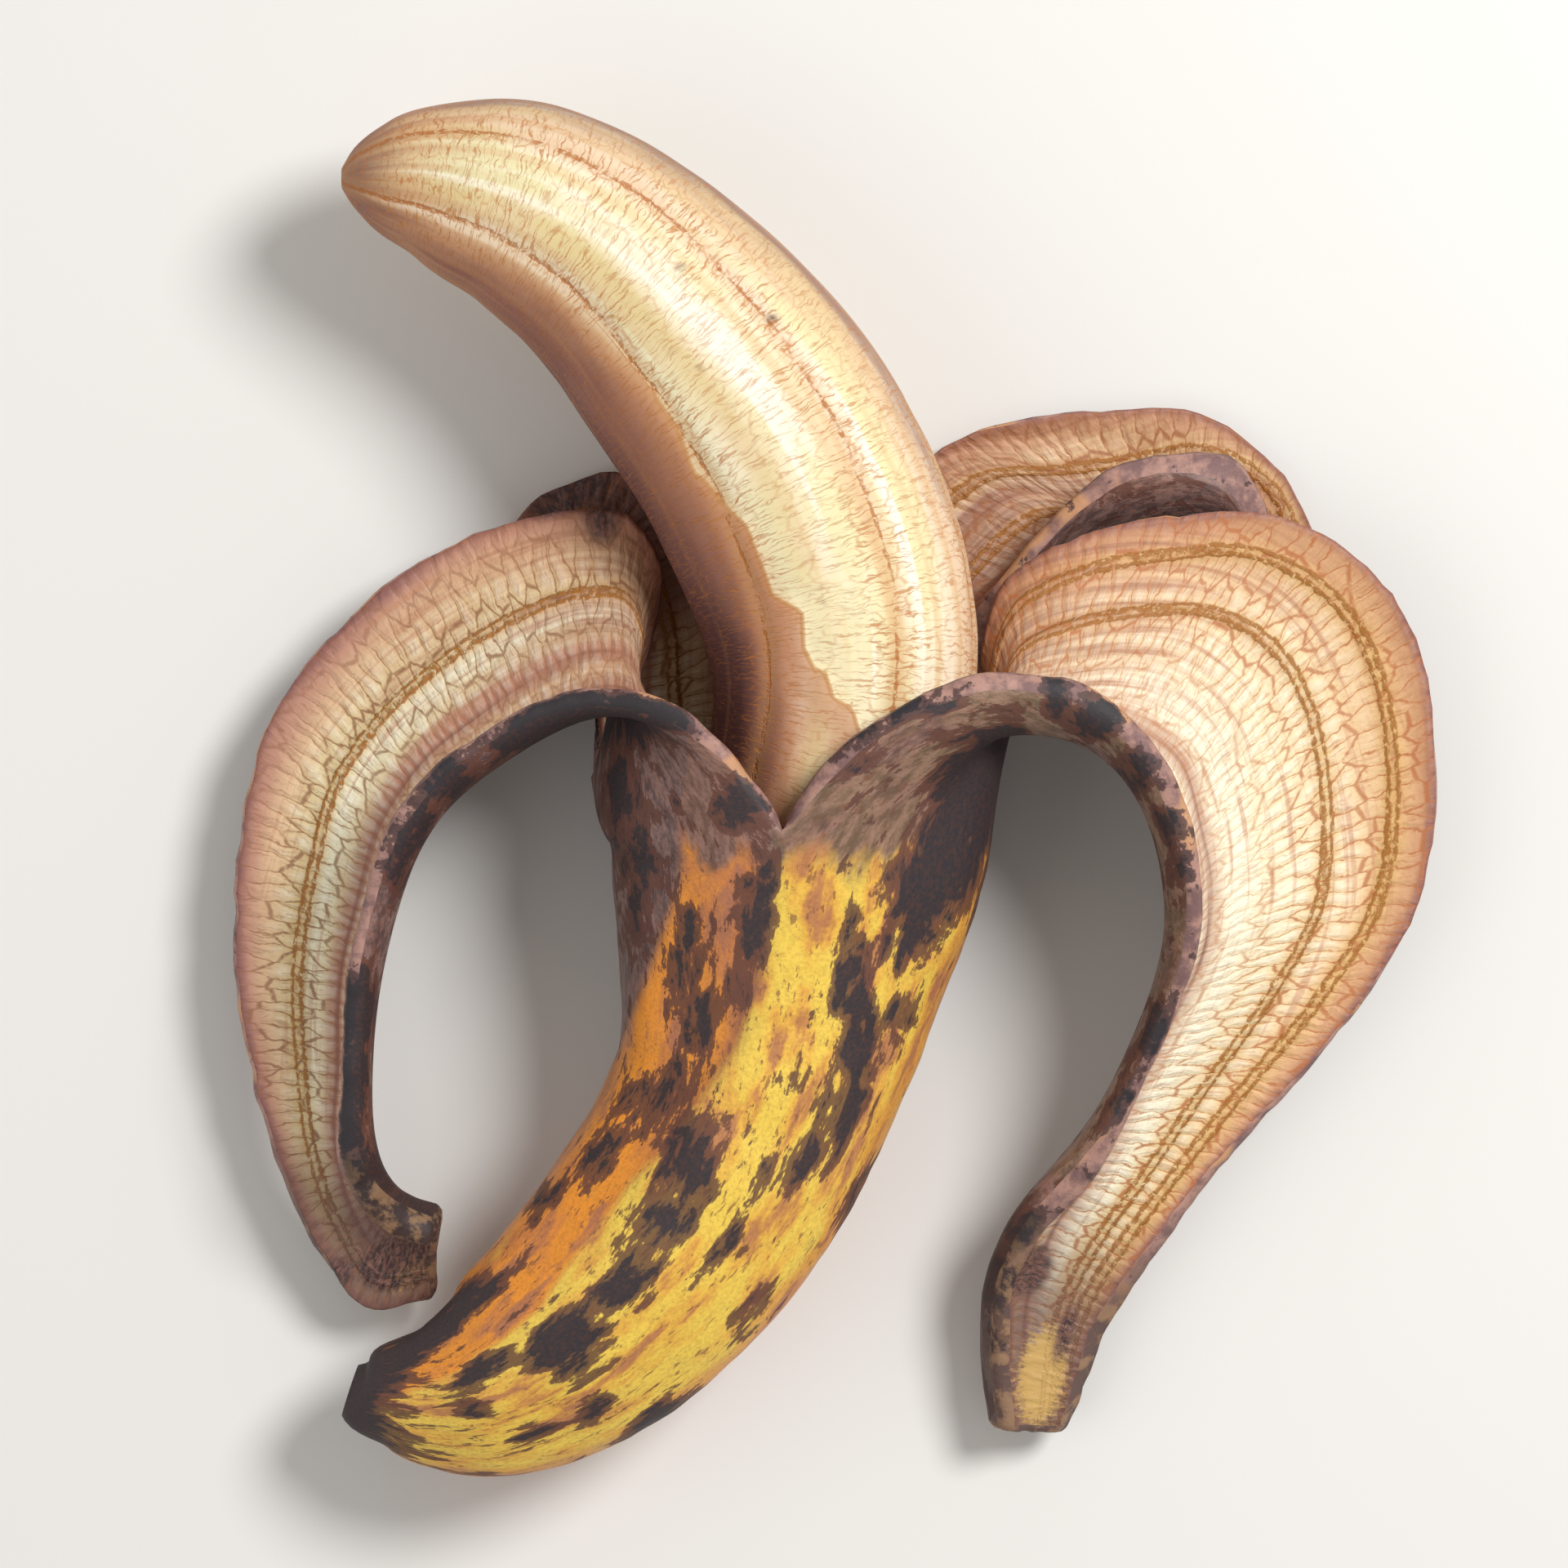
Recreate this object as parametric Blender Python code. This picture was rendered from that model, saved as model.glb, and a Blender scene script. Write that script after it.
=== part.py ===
"""Half-peeled overripe banana lying on its back: a cup of peel with four torn strips folded
back from it, and the pulp standing out of the cup. Drawn in millimetres, built in metres.
+X is the side of the wide front strip, +Y runs towards the tip of the pulp, +Z is up."""

import bpy
import bmesh
import numpy as np

MM = 0.001

# Sizes of the peel, mm
PEEL_THICKNESS = 2.54
TORN_EDGE_SHARE = 0.6  # thickness left along a torn edge
TORN_EDGE_WIDTH = 0.14  # share of a strip's width over which it thins
SPLIT_AT_SIDES = 2.0  # y where the peel splits at the sides and below
SPLIT_IN_FRONT = -3.2  # y of the lowest point of the front split
REST_LEVEL = 0.9  # the underside is flattened up to this height
STRIP_ON_TABLE = 2.2  # least height of a strip's inner face over that

# The blossom end is a dry nub, and the hollow of the peel starts this far past it, mm
HOLLOW_START = 10.5
HOLLOW_ROUNDING = 7.0

# Five blunt ridges run along the fruit, degrees round from the +X side towards +Z
RIDGES = (28.0, 100.0, 150.0, 225.0, 310.0)
RIDGE_WIDTH = 17.0
RIDGE_RISE = 0.05
FACET_DROP = 0.035

# Middle line of the cup: x, y, z, half width, half depth, from the blossom end to the mouth
CUP = (
    (-57.0, -71.0, 15.0, 3.2, 3.2),
    (-55.5, -71.5, 15.0, 4.4, 4.4),
    (-52.0, -71.5, 15.3, 6.6, 6.6),
    (-47.0, -71.5, 15.8, 9.0, 9.0),
    (-40.5, -70.0, 16.4, 11.5, 11.5),
    (-33.0, -65.5, 17.0, 14.0, 14.0),
    (-24.5, -58.0, 17.4, 15.6, 15.6),
    (-16.0, -47.5, 17.5, 16.4, 16.4),
    (-9.5, -35.0, 17.5, 17.1, 17.0),
    (-7.0, -24.0, 17.8, 19.2, 17.8),
    (-5.5, -14.5, 18.5, 21.6, 18.6),
    (-4.5, -6.0, 19.4, 23.4, 19.4),
    (-5.0, 0.5, 20.0, 24.8, 20.0),
    (-5.0, 6.5, 20.3, 25.8, 20.3),
)

# Middle line of the pulp: x, y, z, radius, from its tip down into the cup
PULP = (
    (-57.5, 70.0, 22.0, 1.2),
    (-56.5, 70.0, 22.0, 2.6),
    (-55.0, 70.5, 22.0, 4.3),
    (-52.5, 70.5, 22.0, 6.3),
    (-48.0, 70.0, 22.0, 8.8),
    (-43.0, 69.0, 21.8, 10.9),
    (-37.5, 67.5, 21.6, 12.3),
    (-29.0, 63.0, 21.4, 13.6),
    (-22.0, 57.0, 21.2, 14.6),
    (-17.0, 51.5, 21.0, 15.6),
    (-9.5, 42.0, 20.8, 16.3),
    (-5.0, 34.5, 20.6, 16.6),
    (-1.0, 25.5, 20.6, 16.7),
    (1.5, 18.0, 20.5, 16.2),
    (1.5, 11.0, 20.4, 15.7),
    (0.0, 2.5, 20.1, 14.5),
    (-3.0, -6.0, 19.3, 13.9),
    (-5.5, -15.5, 18.5, 13.4),
    (-7.5, -25.5, 17.9, 12.7),
    (-10.0, -35.0, 17.5, 12.0),
    (-16.0, -47.0, 17.5, 11.8),
    (-24.5, -57.5, 17.4, 11.2),
    (-32.0, -65.0, 17.0, 9.8),
    (-38.0, -68.0, 16.6, 7.6),
    (-42.0, -70.0, 16.3, 4.8),
    (-44.5, -70.5, 16.1, 1.6),
)

# A strip of peel is a row of cross-sections of its inner face, from the cup to its tip. Each
# is: far edge, near edge (the one turned to the viewer), how far the face curls up towards
# the far and the near edge in degrees, how far across the near curl sits, thickness.
RIGHT_STRIP = (
    ((18.0, 8.0, 17.0), (-1.5, 2.5, 38.5), 50, 55, 0.75, 2.4),
    ((17.0, 16.0, 15.5), (6.5, 8.5, 40.0), 45, 75, 0.75, 2.4),
    ((20.0, 24.0, 15.0), (13.5, 12.0, 40.3), 40, 95, 0.80, 2.4),
    ((29.5, 29.5, 16.0), (21.5, 12.5, 39.5), 40, 110, 0.80, 2.4),
    ((41.0, 31.5, 15.5), (29.0, 11.0, 38.5), 40, 110, 0.80, 2.4),
    ((52.0, 31.5, 14.8), (35.5, 5.0, 37.5), 40, 100, 0.80, 2.4),
    ((62.5, 25.5, 13.5), (40.0, -3.0, 36.0), 40, 90, 0.80, 2.4),
    ((68.5, 16.0, 12.0), (41.5, -11.5, 34.5), 40, 85, 0.80, 2.4),
    ((70.5, 2.5, 12.0), (41.5, -17.5, 32.5), 45, 80, 0.80, 2.4),
    ((69.0, -12.5, 12.0), (40.0, -23.5, 30.0), 45, 75, 0.80, 2.4),
    ((61.5, -25.5, 12.0), (37.0, -31.0, 27.0), 45, 75, 0.80, 2.4),
    ((51.5, -37.0, 11.5), (33.5, -39.0, 24.0), 45, 75, 0.80, 2.4),
    ((41.5, -48.5, 11.0), (29.5, -46.5, 20.5), 45, 70, 0.80, 3.8),
    ((35.0, -57.0, 10.0), (24.0, -52.5, 17.5), 40, 60, 0.80, 5.6),
    ((30.5, -64.0, 9.0), (20.6, -60.0, 14.0), 30, 40, 0.75, 6.8),
    ((28.4, -70.0, 8.5), (20.4, -68.0, 12.0), 25, 30, 0.70, 6.4),
    ((26.6, -76.0, 8.0), (21.2, -75.6, 10.5), 20, 20, 0.70, 5.4),
)
LEFT_STRIP = (
    ((-24.5, 8.5, 16.0), (-10.5, 1.5, 38.0), 38, 40, 0.70, 2.2),
    ((-21.5, 17.0, 15.0), (-14.0, 5.5, 39.3), 34, 44, 0.72, 2.0),
    ((-20.5, 25.5, 14.5), (-18.0, 8.7, 39.2), 30, 50, 0.78, 1.8),
    ((-24.0, 31.0, 14.0), (-22.5, 10.5, 38.0), 28, 68, 0.86, 1.8),
    ((-30.5, 32.3, 13.5), (-28.0, 11.0, 36.5), 28, 88, 0.88, 2.0),
    ((-40.5, 30.0, 13.0), (-34.0, 9.5, 35.0), 32, 105, 0.88, 2.4),
    ((-50.5, 25.0, 12.5), (-41.0, 5.5, 33.5), 36, 105, 0.86, 2.4),
    ((-60.0, 16.5, 12.0), (-48.0, 0.5, 32.0), 40, 100, 0.84, 2.4),
    ((-67.0, 6.0, 12.0), (-52.5, -6.5, 30.5), 40, 95, 0.82, 2.4),
    ((-70.0, -7.5, 12.0), (-55.0, -15.0, 28.5), 40, 92, 0.80, 2.4),
    ((-70.5, -20.5, 12.0), (-57.0, -24.5, 26.0), 40, 90, 0.80, 2.4),
    ((-69.0, -32.0, 12.0), (-57.5, -34.5, 23.5), 40, 90, 0.80, 2.4),
    ((-65.5, -44.0, 11.5), (-58.0, -44.0, 20.0), 40, 80, 0.80, 3.4),
    ((-60.8, -54.5, 10.5), (-55.0, -50.0, 17.0), 30, 50, 0.80, 4.8),
    ((-55.0, -62.0, 9.0), (-51.6, -53.2, 14.5), 20, 30, 0.75, 6.2),
    ((-48.0, -60.6, 8.5), (-48.0, -54.2, 14.0), 15, 20, 0.70, 6.4),
)
BACK_RIGHT_STRIP = (
    ((-7.0, 10.0, 3.6), (16.5, 10.5, 12.5), 40, 45, 0.70, 2.2),
    ((-2.5, 21.5, 3.6), (16.0, 19.0, 10.0), 35, 60, 0.70, 2.2),
    ((4.5, 32.0, 3.6), (20.5, 25.5, 8.5), 30, 100, 0.70, 2.2),
    ((12.0, 39.5, 3.8), (26.0, 32.0, 9.5), 25, 120, 0.65, 2.2),
    ((21.5, 43.0, 4.3), (33.0, 37.5, 11.0), 15, 160, 0.62, 2.2),
    ((33.0, 44.5, 4.5), (39.5, 39.0, 10.5), 10, 165, 0.60, 2.2),
    ((43.5, 44.0, 4.5), (46.5, 38.5, 9.5), 10, 155, 0.62, 2.2),
    ((52.0, 38.0, 4.2), (51.0, 33.0, 7.5), 20, 100, 0.68, 2.2),
    ((57.5, 27.5, 3.8), (52.5, 23.5, 6.5), 25, 70, 0.72, 2.2),
    ((60.5, 14.0, 3.6), (54.0, 11.0, 6.5), 30, 50, 0.75, 2.2),
    ((60.5, 0.5, 3.6), (53.0, -0.5, 6.5), 30, 50, 0.75, 2.2),
    ((57.5, -11.0, 3.6), (50.0, -10.5, 6.5), 30, 40, 0.75, 2.5),
    ((53.0, -20.5, 3.6), (48.0, -19.0, 6.0), 30, 30, 0.75, 2.4),
)
BACK_LEFT_STRIP = (
    ((-12.0, 11.0, 3.6), (-28.0, 8.5, 10.5), 35, 40, 0.75, 2.2),
    ((-15.0, 21.0, 3.6), (-25.5, 16.0, 8.0), 30, 50, 0.75, 2.2),
    ((-19.0, 30.0, 3.8), (-25.5, 24.5, 8.0), 25, 90, 0.70, 2.2),
    ((-26.0, 37.0, 4.0), (-28.5, 32.5, 9.0), 15, 140, 0.65, 2.2),
    ((-33.5, 35.0, 4.0), (-32.5, 30.5, 7.5), 20, 110, 0.68, 2.2),
    ((-41.5, 27.0, 3.8), (-37.5, 25.0, 6.5), 25, 80, 0.70, 2.2),
    ((-50.5, 19.0, 3.6), (-45.0, 16.0, 6.0), 30, 50, 0.75, 2.2),
    ((-58.0, 9.0, 3.6), (-51.5, 7.0, 6.0), 30, 50, 0.75, 2.2),
    ((-62.0, -2.5, 3.6), (-56.0, -3.0, 6.0), 30, 50, 0.75, 2.2),
    ((-64.0, -13.5, 3.6), (-58.5, -13.5, 6.0), 30, 40, 0.75, 2.5),
    ((-64.0, -24.0, 3.6), (-60.0, -23.5, 6.0), 30, 30, 0.75, 2.4),
)

# Each strip: its sections, where its far and near edge leave the cup in degrees, the side on
# which its skin lies seen along it, its columns and its rows.
STRIPS = (
    (RIGHT_STRIP, -8.0, 95.0, 1, 14, 30),
    (LEFT_STRIP, 190.0, 95.0, -1, 12, 30),
    (BACK_LEFT_STRIP, 262.0, 190.0, -1, 9, 20),
    (BACK_RIGHT_STRIP, 262.0, 352.0, 1, 11, 24),
)
SKIN_EVENING = 4  # passes
CUP_ROWS = 20
PULP_ROWS = 40
PULP_COLUMNS = 32


def distances(points):
    """How far along a row of points each one lies."""
    steps = np.linalg.norm(np.diff(points, axis=0), axis=1)
    return np.concatenate([[0.0], np.cumsum(steps)])


def spline(knots, values, at):
    """A smooth curve through values at rising knots, read at each place of `at`."""
    at = np.asarray(at, float)
    slopes = np.gradient(values, knots, axis=0)
    i = np.clip(np.searchsorted(knots, at, side="right") - 1, 0, len(knots) - 2)
    wide = (...,) + (None,) * (values.ndim - 1)
    h = (knots[i + 1] - knots[i])[wide]
    t = ((at - knots[i]) / (knots[i + 1] - knots[i]))[wide]
    return (
        values[i] * (1 + 2 * t) * (1 - t) ** 2
        + slopes[i] * h * t * (1 - t) ** 2
        + values[i + 1] * t * t * (3 - 2 * t)
        + slopes[i + 1] * h * t * t * (t - 1)
    )


def unit(vectors):
    return vectors / np.linalg.norm(vectors, axis=-1, keepdims=True)


def ridged(theta):
    """How far the five ridges swell a round section, against angle in radians."""
    swell = np.full_like(theta, 1.0 - FACET_DROP)
    for ridge in RIDGES:
        away = (np.degrees(theta) - ridge + 180.0) % 360.0 - 180.0
        swell += RIDGE_RISE * np.exp(-((away / RIDGE_WIDTH) ** 2))
    return swell


def sweep(stations, at, theta, less=0.0, shape=ridged):
    """Points of a tube round a line of stations, `less` inside its wall, for each place
    `at` along the line and each angle theta."""
    stations = np.array(stations)
    along = distances(stations[:, :3])
    here = spline(along, stations, at)
    ahead = spline(along, stations, at + 0.5)
    behind = spline(along, stations, at - 0.5)
    way = unit(ahead[..., :3] - behind[..., :3])
    side = unit(np.cross(way, (0.0, 0.0, 1.0)))
    rise = np.cross(side, way)
    swell = shape(theta)
    width = here[..., 3] * swell - less
    depth = here[..., -1] * swell - less
    return (
        here[..., :3]
        + side * (width * np.cos(theta))[..., None]
        + rise * (depth * np.sin(theta))[..., None]
    )


def split_place(theta):
    """How far along the cup the peel ends, or splits, at each angle."""
    stations = np.array(CUP)
    along = distances(stations[:, :3])
    forward = ((1 + np.sin(theta)) / 2) ** 2
    y = SPLIT_AT_SIDES + (SPLIT_IN_FRONT - SPLIT_AT_SIDES) * forward
    return np.interp(y, stations[5:, 1], along[5:])


def ease(share):
    share = np.clip(share, 0, 1)
    return share * share * (3 - 2 * share)


def curl_profile(far, near, roll, places):
    """A flat curve from (0, 0) to (1, 0) that bends up towards both ends, the belly of it
    on the positive side."""
    fine = np.linspace(0, 1, 161)
    middle = (fine[1:] + fine[:-1]) / 2
    turn = near * ease((middle - roll) / 0.6 + 0.5) - far * ease(0.85 - middle / 0.6)
    turn = np.radians(turn)
    line = np.cumsum(np.stack([np.cos(turn), -np.sin(turn)], axis=1), axis=0)
    line = np.concatenate([np.zeros((1, 2)), line])
    end = line[-1]
    across = np.array([-end[1], end[0]])
    line = np.stack([line @ end, line @ across], axis=1) / (end @ end)
    return np.stack([np.interp(places, fine, line[:, k]) for k in (0, 1)], axis=1)


def strip_faces(strip, ring, below, places, rows):
    """Inner and outer face of one strip as grids of points, starting on the cup's rim."""
    sections, _, _, skin_side, _, _ = strip
    middles = np.array([(np.array(a) + np.array(b)) / 2 for a, b, *_ in sections])
    start = (ring[0] + ring[-1]) / 2
    before = (below[0] + below[-1]) / 2
    line = np.concatenate([[before, start], middles])
    ways = unit(np.gradient(line, distances(line), axis=0))[2:]
    grids = [below, ring]
    for way, (far, near, curl_far, curl_near, roll, _) in zip(ways, sections):
        far, near = np.array(far), np.array(near)
        chord = near - far
        belly = unit(np.cross(way, chord)) * skin_side * np.linalg.norm(chord)
        profile = curl_profile(curl_far, curl_near, roll, places)
        grids.append(far + profile[:, :1] * chord + profile[:, 1:] * belly)
    grids = np.array(grids)
    knots = distances(grids.mean(axis=1))
    at = np.linspace(knots[1], knots[-1], rows + 1)
    inner = spline(knots, grids, at)
    inner[..., 2] = np.maximum(inner[..., 2], REST_LEVEL + STRIP_ON_TABLE)
    thick = np.array([PEEL_THICKNESS] * 2 + [section[-1] for section in sections])
    thick = np.interp(at, knots, thick)
    along = np.gradient(inner, at, axis=0)
    across = np.gradient(inner, places, axis=1)
    outward = unit(np.cross(along, across)) * skin_side
    edge = np.clip(np.minimum(places, 1 - places) / TORN_EDGE_WIDTH, 0, 1)
    edge = TORN_EDGE_SHARE + (1 - TORN_EDGE_SHARE) * np.sqrt(edge * (2 - edge))
    torn = np.clip((at - at[0]) / 12.0, 0, 1)[:, None]
    thick = thick[:, None] * (1 + torn * (edge - 1))
    skin = inner + outward * thick[..., None]
    # The skin lies on the inside of the fold, where it would bunch up: it is evened out
    for _ in range(SKIN_EVENING):
        skin[1:-1] = (skin[:-2] + 2 * skin[1:-1] + skin[2:]) / 4
    return inner, skin


class Shell:
    """Points and faces gathered for one closed mesh."""

    def __init__(self):
        self.points = []
        self.faces = []

    def add(self, grid):
        """Adds a grid of points and gives the number of each."""
        flat = np.asarray(grid).reshape(-1, 3)
        first = len(self.points)
        self.points.extend(flat.tolist())
        return np.arange(first, first + len(flat)).reshape(np.asarray(grid).shape[:-1])

    def quads(self, numbers):
        """Fills a grid of numbered points with four-sided faces."""
        a, b = numbers[:-1, :-1], numbers[1:, :-1]
        c, d = numbers[1:, 1:], numbers[:-1, 1:]
        self.faces.extend(np.stack([a, b, c, d], axis=-1).reshape(-1, 4).tolist())

    def fan(self, ring, point):
        """Closes a ring of numbered points with triangles to one more point."""
        middle = int(self.add(np.array([point]))[0])
        for a, b in zip(ring, np.roll(ring, -1)):
            self.faces.append([int(a), int(b), middle])

    def build(self, name, material, shift):
        mesh = bpy.data.meshes.new(name)
        points = (np.array(self.points) + shift) * MM
        mesh.from_pydata(points.tolist(), [], self.faces)
        work = bmesh.new()
        work.from_mesh(mesh)
        bmesh.ops.recalc_face_normals(work, faces=work.faces)
        work.to_mesh(mesh)
        work.free()
        mesh.shade_smooth()
        mesh.materials.append(material)
        made = bpy.data.objects.new(name, mesh)
        bpy.context.scene.collection.objects.link(made)
        return made


def peel_shell():
    shell = Shell()
    # Angles of the columns, once round from the right-hand split
    turns = []
    spans = []
    for _, far, near, _, columns, _ in STRIPS:
        low, high = (far, near) if far < near else (near, far)
        spans.append((len(turns), len(turns) + columns))
        turns.extend(np.linspace(low, high, columns + 1)[:-1])
    theta = np.radians(np.array(turns))
    total = len(theta)

    # Cup: skin and hollow, both from the blossom end to the rim
    share = np.linspace(0, 1, CUP_ROWS + 1)[:, None]
    end = split_place(theta)[None, :]
    outer = sweep(CUP, share * end, theta + 0 * share)
    depth = HOLLOW_START + share * (end - HOLLOW_START)
    rounding = np.clip((depth - HOLLOW_START) / HOLLOW_ROUNDING, 0.02, 1)
    rounding = np.sqrt(rounding * (2 - rounding))
    inner = sweep(CUP, depth, theta + 0 * share, PEEL_THICKNESS)
    axis = sweep(CUP, depth, theta + 0 * share, 0.0, lambda angle: 0 * angle)
    inner = axis + (inner - axis) * rounding[..., None]
    skin = shell.add(outer)
    lining = shell.add(inner)
    shell.quads(np.concatenate([skin, skin[:, :1]], axis=1))
    shell.quads(np.concatenate([lining, lining[:, :1]], axis=1))
    shell.fan(skin[0], outer[0].mean(axis=0))
    shell.fan(lining[0], inner[0].mean(axis=0))

    # Strips, each hung on its share of the rim
    for strip, (first, last) in zip(STRIPS, spans):
        _, far, near, _, columns, rows = strip
        order = np.arange(first, last + 1) % total
        if far > near:
            order = order[::-1]
        places = np.linspace(0, 1, columns + 1)
        inside, outside = strip_faces(strip, inner[-1][order], inner[-2][order], places, rows)
        inside = np.concatenate([lining[-1][order][None], shell.add(inside[1:])])
        outside = np.concatenate([skin[-1][order][None], shell.add(outside[1:])])
        shell.quads(inside)
        shell.quads(outside)
        for edge in (0, -1):
            shell.quads(np.stack([inside[:, edge], outside[:, edge]]))
        shell.quads(np.stack([inside[-1], outside[-1]]))
    return shell


def pulp_shell():
    shell = Shell()
    stations = np.array(PULP)
    length = distances(stations[:, :3])[-1]
    # Rows stand closer where the ends round off
    share = (1 - np.cos(np.linspace(0, np.pi, PULP_ROWS + 1))) / 2
    share = (0.35 * share + 0.65 * np.linspace(0, 1, PULP_ROWS + 1))[:, None]
    theta = np.linspace(0, 2 * np.pi, PULP_COLUMNS, endpoint=False)[None, :]
    grid = sweep(PULP, share * length, theta + 0 * share, 0.0, np.ones_like)
    numbers = shell.add(grid)
    shell.quads(np.concatenate([numbers, numbers[:, :1]], axis=1))
    shell.fan(numbers[0], grid[0].mean(axis=0))
    shell.fan(numbers[-1], grid[-1].mean(axis=0))
    return shell


def plain_material(name, colour, roughness):
    material = bpy.data.materials.new(name)
    material.use_nodes = True
    shader = material.node_tree.nodes["Principled BSDF"]
    shader.inputs["Base Color"].default_value = (*colour, 1.0)
    shader.inputs["Roughness"].default_value = roughness
    shader.inputs["Metallic"].default_value = 0.0
    return material


for old in list(bpy.data.objects):
    bpy.data.objects.remove(old, do_unlink=True)

peel = peel_shell()
pulp = pulp_shell()

# The lowest points are pressed flat, where the fruit rests
peel_points = np.array(peel.points)
peel_points[:, 2] = np.maximum(peel_points[:, 2], REST_LEVEL)
peel.points = peel_points.tolist()

# The middle of the underside of the whole becomes the origin
every = np.concatenate([peel_points, np.array(pulp.points)])
low, high = every.min(axis=0), every.max(axis=0)
shift = -np.array([(low[0] + high[0]) / 2, (low[1] + high[1]) / 2, low[2]])

peel.build("peel", plain_material("banana_skin", (0.62, 0.35, 0.07), 0.55), shift)
pulp.build("flesh", plain_material("banana_flesh", (0.82, 0.72, 0.48), 0.6), shift)
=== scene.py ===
import bmesh
import bpy
import numpy as np
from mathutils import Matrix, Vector, noise


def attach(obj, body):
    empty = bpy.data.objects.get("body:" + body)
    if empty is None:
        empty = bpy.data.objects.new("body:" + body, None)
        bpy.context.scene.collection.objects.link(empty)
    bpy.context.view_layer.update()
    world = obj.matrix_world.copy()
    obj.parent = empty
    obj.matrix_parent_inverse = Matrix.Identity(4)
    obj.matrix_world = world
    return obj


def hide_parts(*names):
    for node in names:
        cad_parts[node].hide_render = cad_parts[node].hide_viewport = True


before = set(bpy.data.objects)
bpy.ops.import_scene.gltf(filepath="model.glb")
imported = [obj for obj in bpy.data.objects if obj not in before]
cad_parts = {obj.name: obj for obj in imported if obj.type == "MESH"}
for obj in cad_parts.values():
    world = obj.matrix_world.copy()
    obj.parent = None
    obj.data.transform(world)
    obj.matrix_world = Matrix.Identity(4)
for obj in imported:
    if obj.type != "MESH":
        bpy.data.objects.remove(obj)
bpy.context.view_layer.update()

# PEEL
# One grown piece: the cup round the lower half, four strips torn down from the stem end, the
# split stem on the tips of the two front strips, and the dry blossom end. Outside it is waxy
# skin gone spotted with age; inside, a soft pale lining with veins and cross fibres.

MM = 0.001
TO_ORIGIN = (0.057, 0.561, -0.9)  # from where the fruit was laid out to its place, mm
PEEL_THICKNESS = 2.54
TORN_EDGE_SHARE = 0.6
TORN_EDGE_WIDTH = 0.14
SPLIT_AT_SIDES = 2.0
SPLIT_IN_FRONT = -3.2
REST_LEVEL = 0.9
STRIP_ON_TABLE = 2.2
TEAR_EASING = 12.0  # how far from the mouth the strips take on their torn edges, mm
TIP_EASING = 20.0  # how far before its tip a strip's veins and creases fade, mm
HOLLOW_START = 10.5
HOLLOW_ROUNDING = 7.0
HOLLOW_TIP = 0.02  # keeps the end of the hollow from closing to a point
ROW_CROWDING = 0.7  # sets the rows of the hollow closer together towards the mouth
RIDGES = (28.0, 100.0, 150.0, 225.0, 310.0)
RIDGE_WIDTH = 17.0
RIDGE_RISE = 0.05
FACET_DROP = 0.035

# Middle line of the cup: x, y, z, half width, half depth in mm, from the blossom end up
CUP = (
    (-57, -71, 15, 3.2, 3.2),
    (-55.5, -71.5, 15, 4.4, 4.4),
    (-52, -71.5, 15.3, 6.6, 6.6),
    (-47, -71.5, 15.8, 9, 9),
    (-40.5, -70, 16.4, 11.5, 11.5),
    (-33, -65.5, 17, 14, 14),
    (-24.5, -58, 17.4, 15.6, 15.6),
    (-16, -47.5, 17.5, 16.4, 16.4),
    (-9.5, -35, 17.5, 17.1, 17),
    (-7, -24, 17.8, 19.2, 17.8),
    (-5.5, -14.5, 18.5, 21.6, 18.6),
    (-4.5, -6, 19.4, 23.4, 19.4),
    (-5, 0.5, 20, 24.8, 20),
    (-5, 6.5, 20.3, 25.8, 20.3),
)

# Sections of a strip's lining from the cup to its tip: far edge, near edge, curl towards each
# in degrees, where the near curl sits, thickness
RIGHT_STRIP = (
    ((18, 8, 17), (-1.5, 2.5, 38.5), 50, 55, 0.75, 2.4),
    ((17, 16, 15.5), (6.5, 8.5, 40), 45, 75, 0.75, 2.4),
    ((20, 24, 15), (13.5, 12, 40.3), 40, 95, 0.80, 2.4),
    ((29.5, 29.5, 16), (21.5, 12.5, 39.5), 40, 110, 0.80, 2.4),
    ((41, 31.5, 15.5), (29, 11, 38.5), 40, 110, 0.80, 2.4),
    ((52, 31.5, 14.8), (35.5, 5, 37.5), 40, 100, 0.80, 2.4),
    ((62.5, 25.5, 13.5), (40, -3, 36), 40, 90, 0.80, 2.4),
    ((68.5, 16, 12), (41.5, -11.5, 34.5), 40, 85, 0.80, 2.4),
    ((70.5, 2.5, 12), (41.5, -17.5, 32.5), 45, 80, 0.80, 2.4),
    ((69, -12.5, 12), (40, -23.5, 30), 45, 75, 0.80, 2.4),
    ((61.5, -25.5, 12), (37, -31, 27), 45, 75, 0.80, 2.4),
    ((51.5, -37, 11.5), (33.5, -39, 24), 45, 75, 0.80, 2.4),
    ((41.5, -48.5, 11), (29.5, -46.5, 20.5), 45, 70, 0.80, 3.8),
    ((35, -57, 10), (24, -52.5, 17.5), 40, 60, 0.80, 5.6),
    ((30.5, -64, 9), (20.6, -60, 14), 30, 40, 0.75, 6.8),
    ((28.4, -70, 8.5), (20.4, -68, 12), 25, 30, 0.70, 6.4),
    ((26.6, -76, 8), (21.2, -75.6, 10.5), 20, 20, 0.70, 5.4),
)
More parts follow.
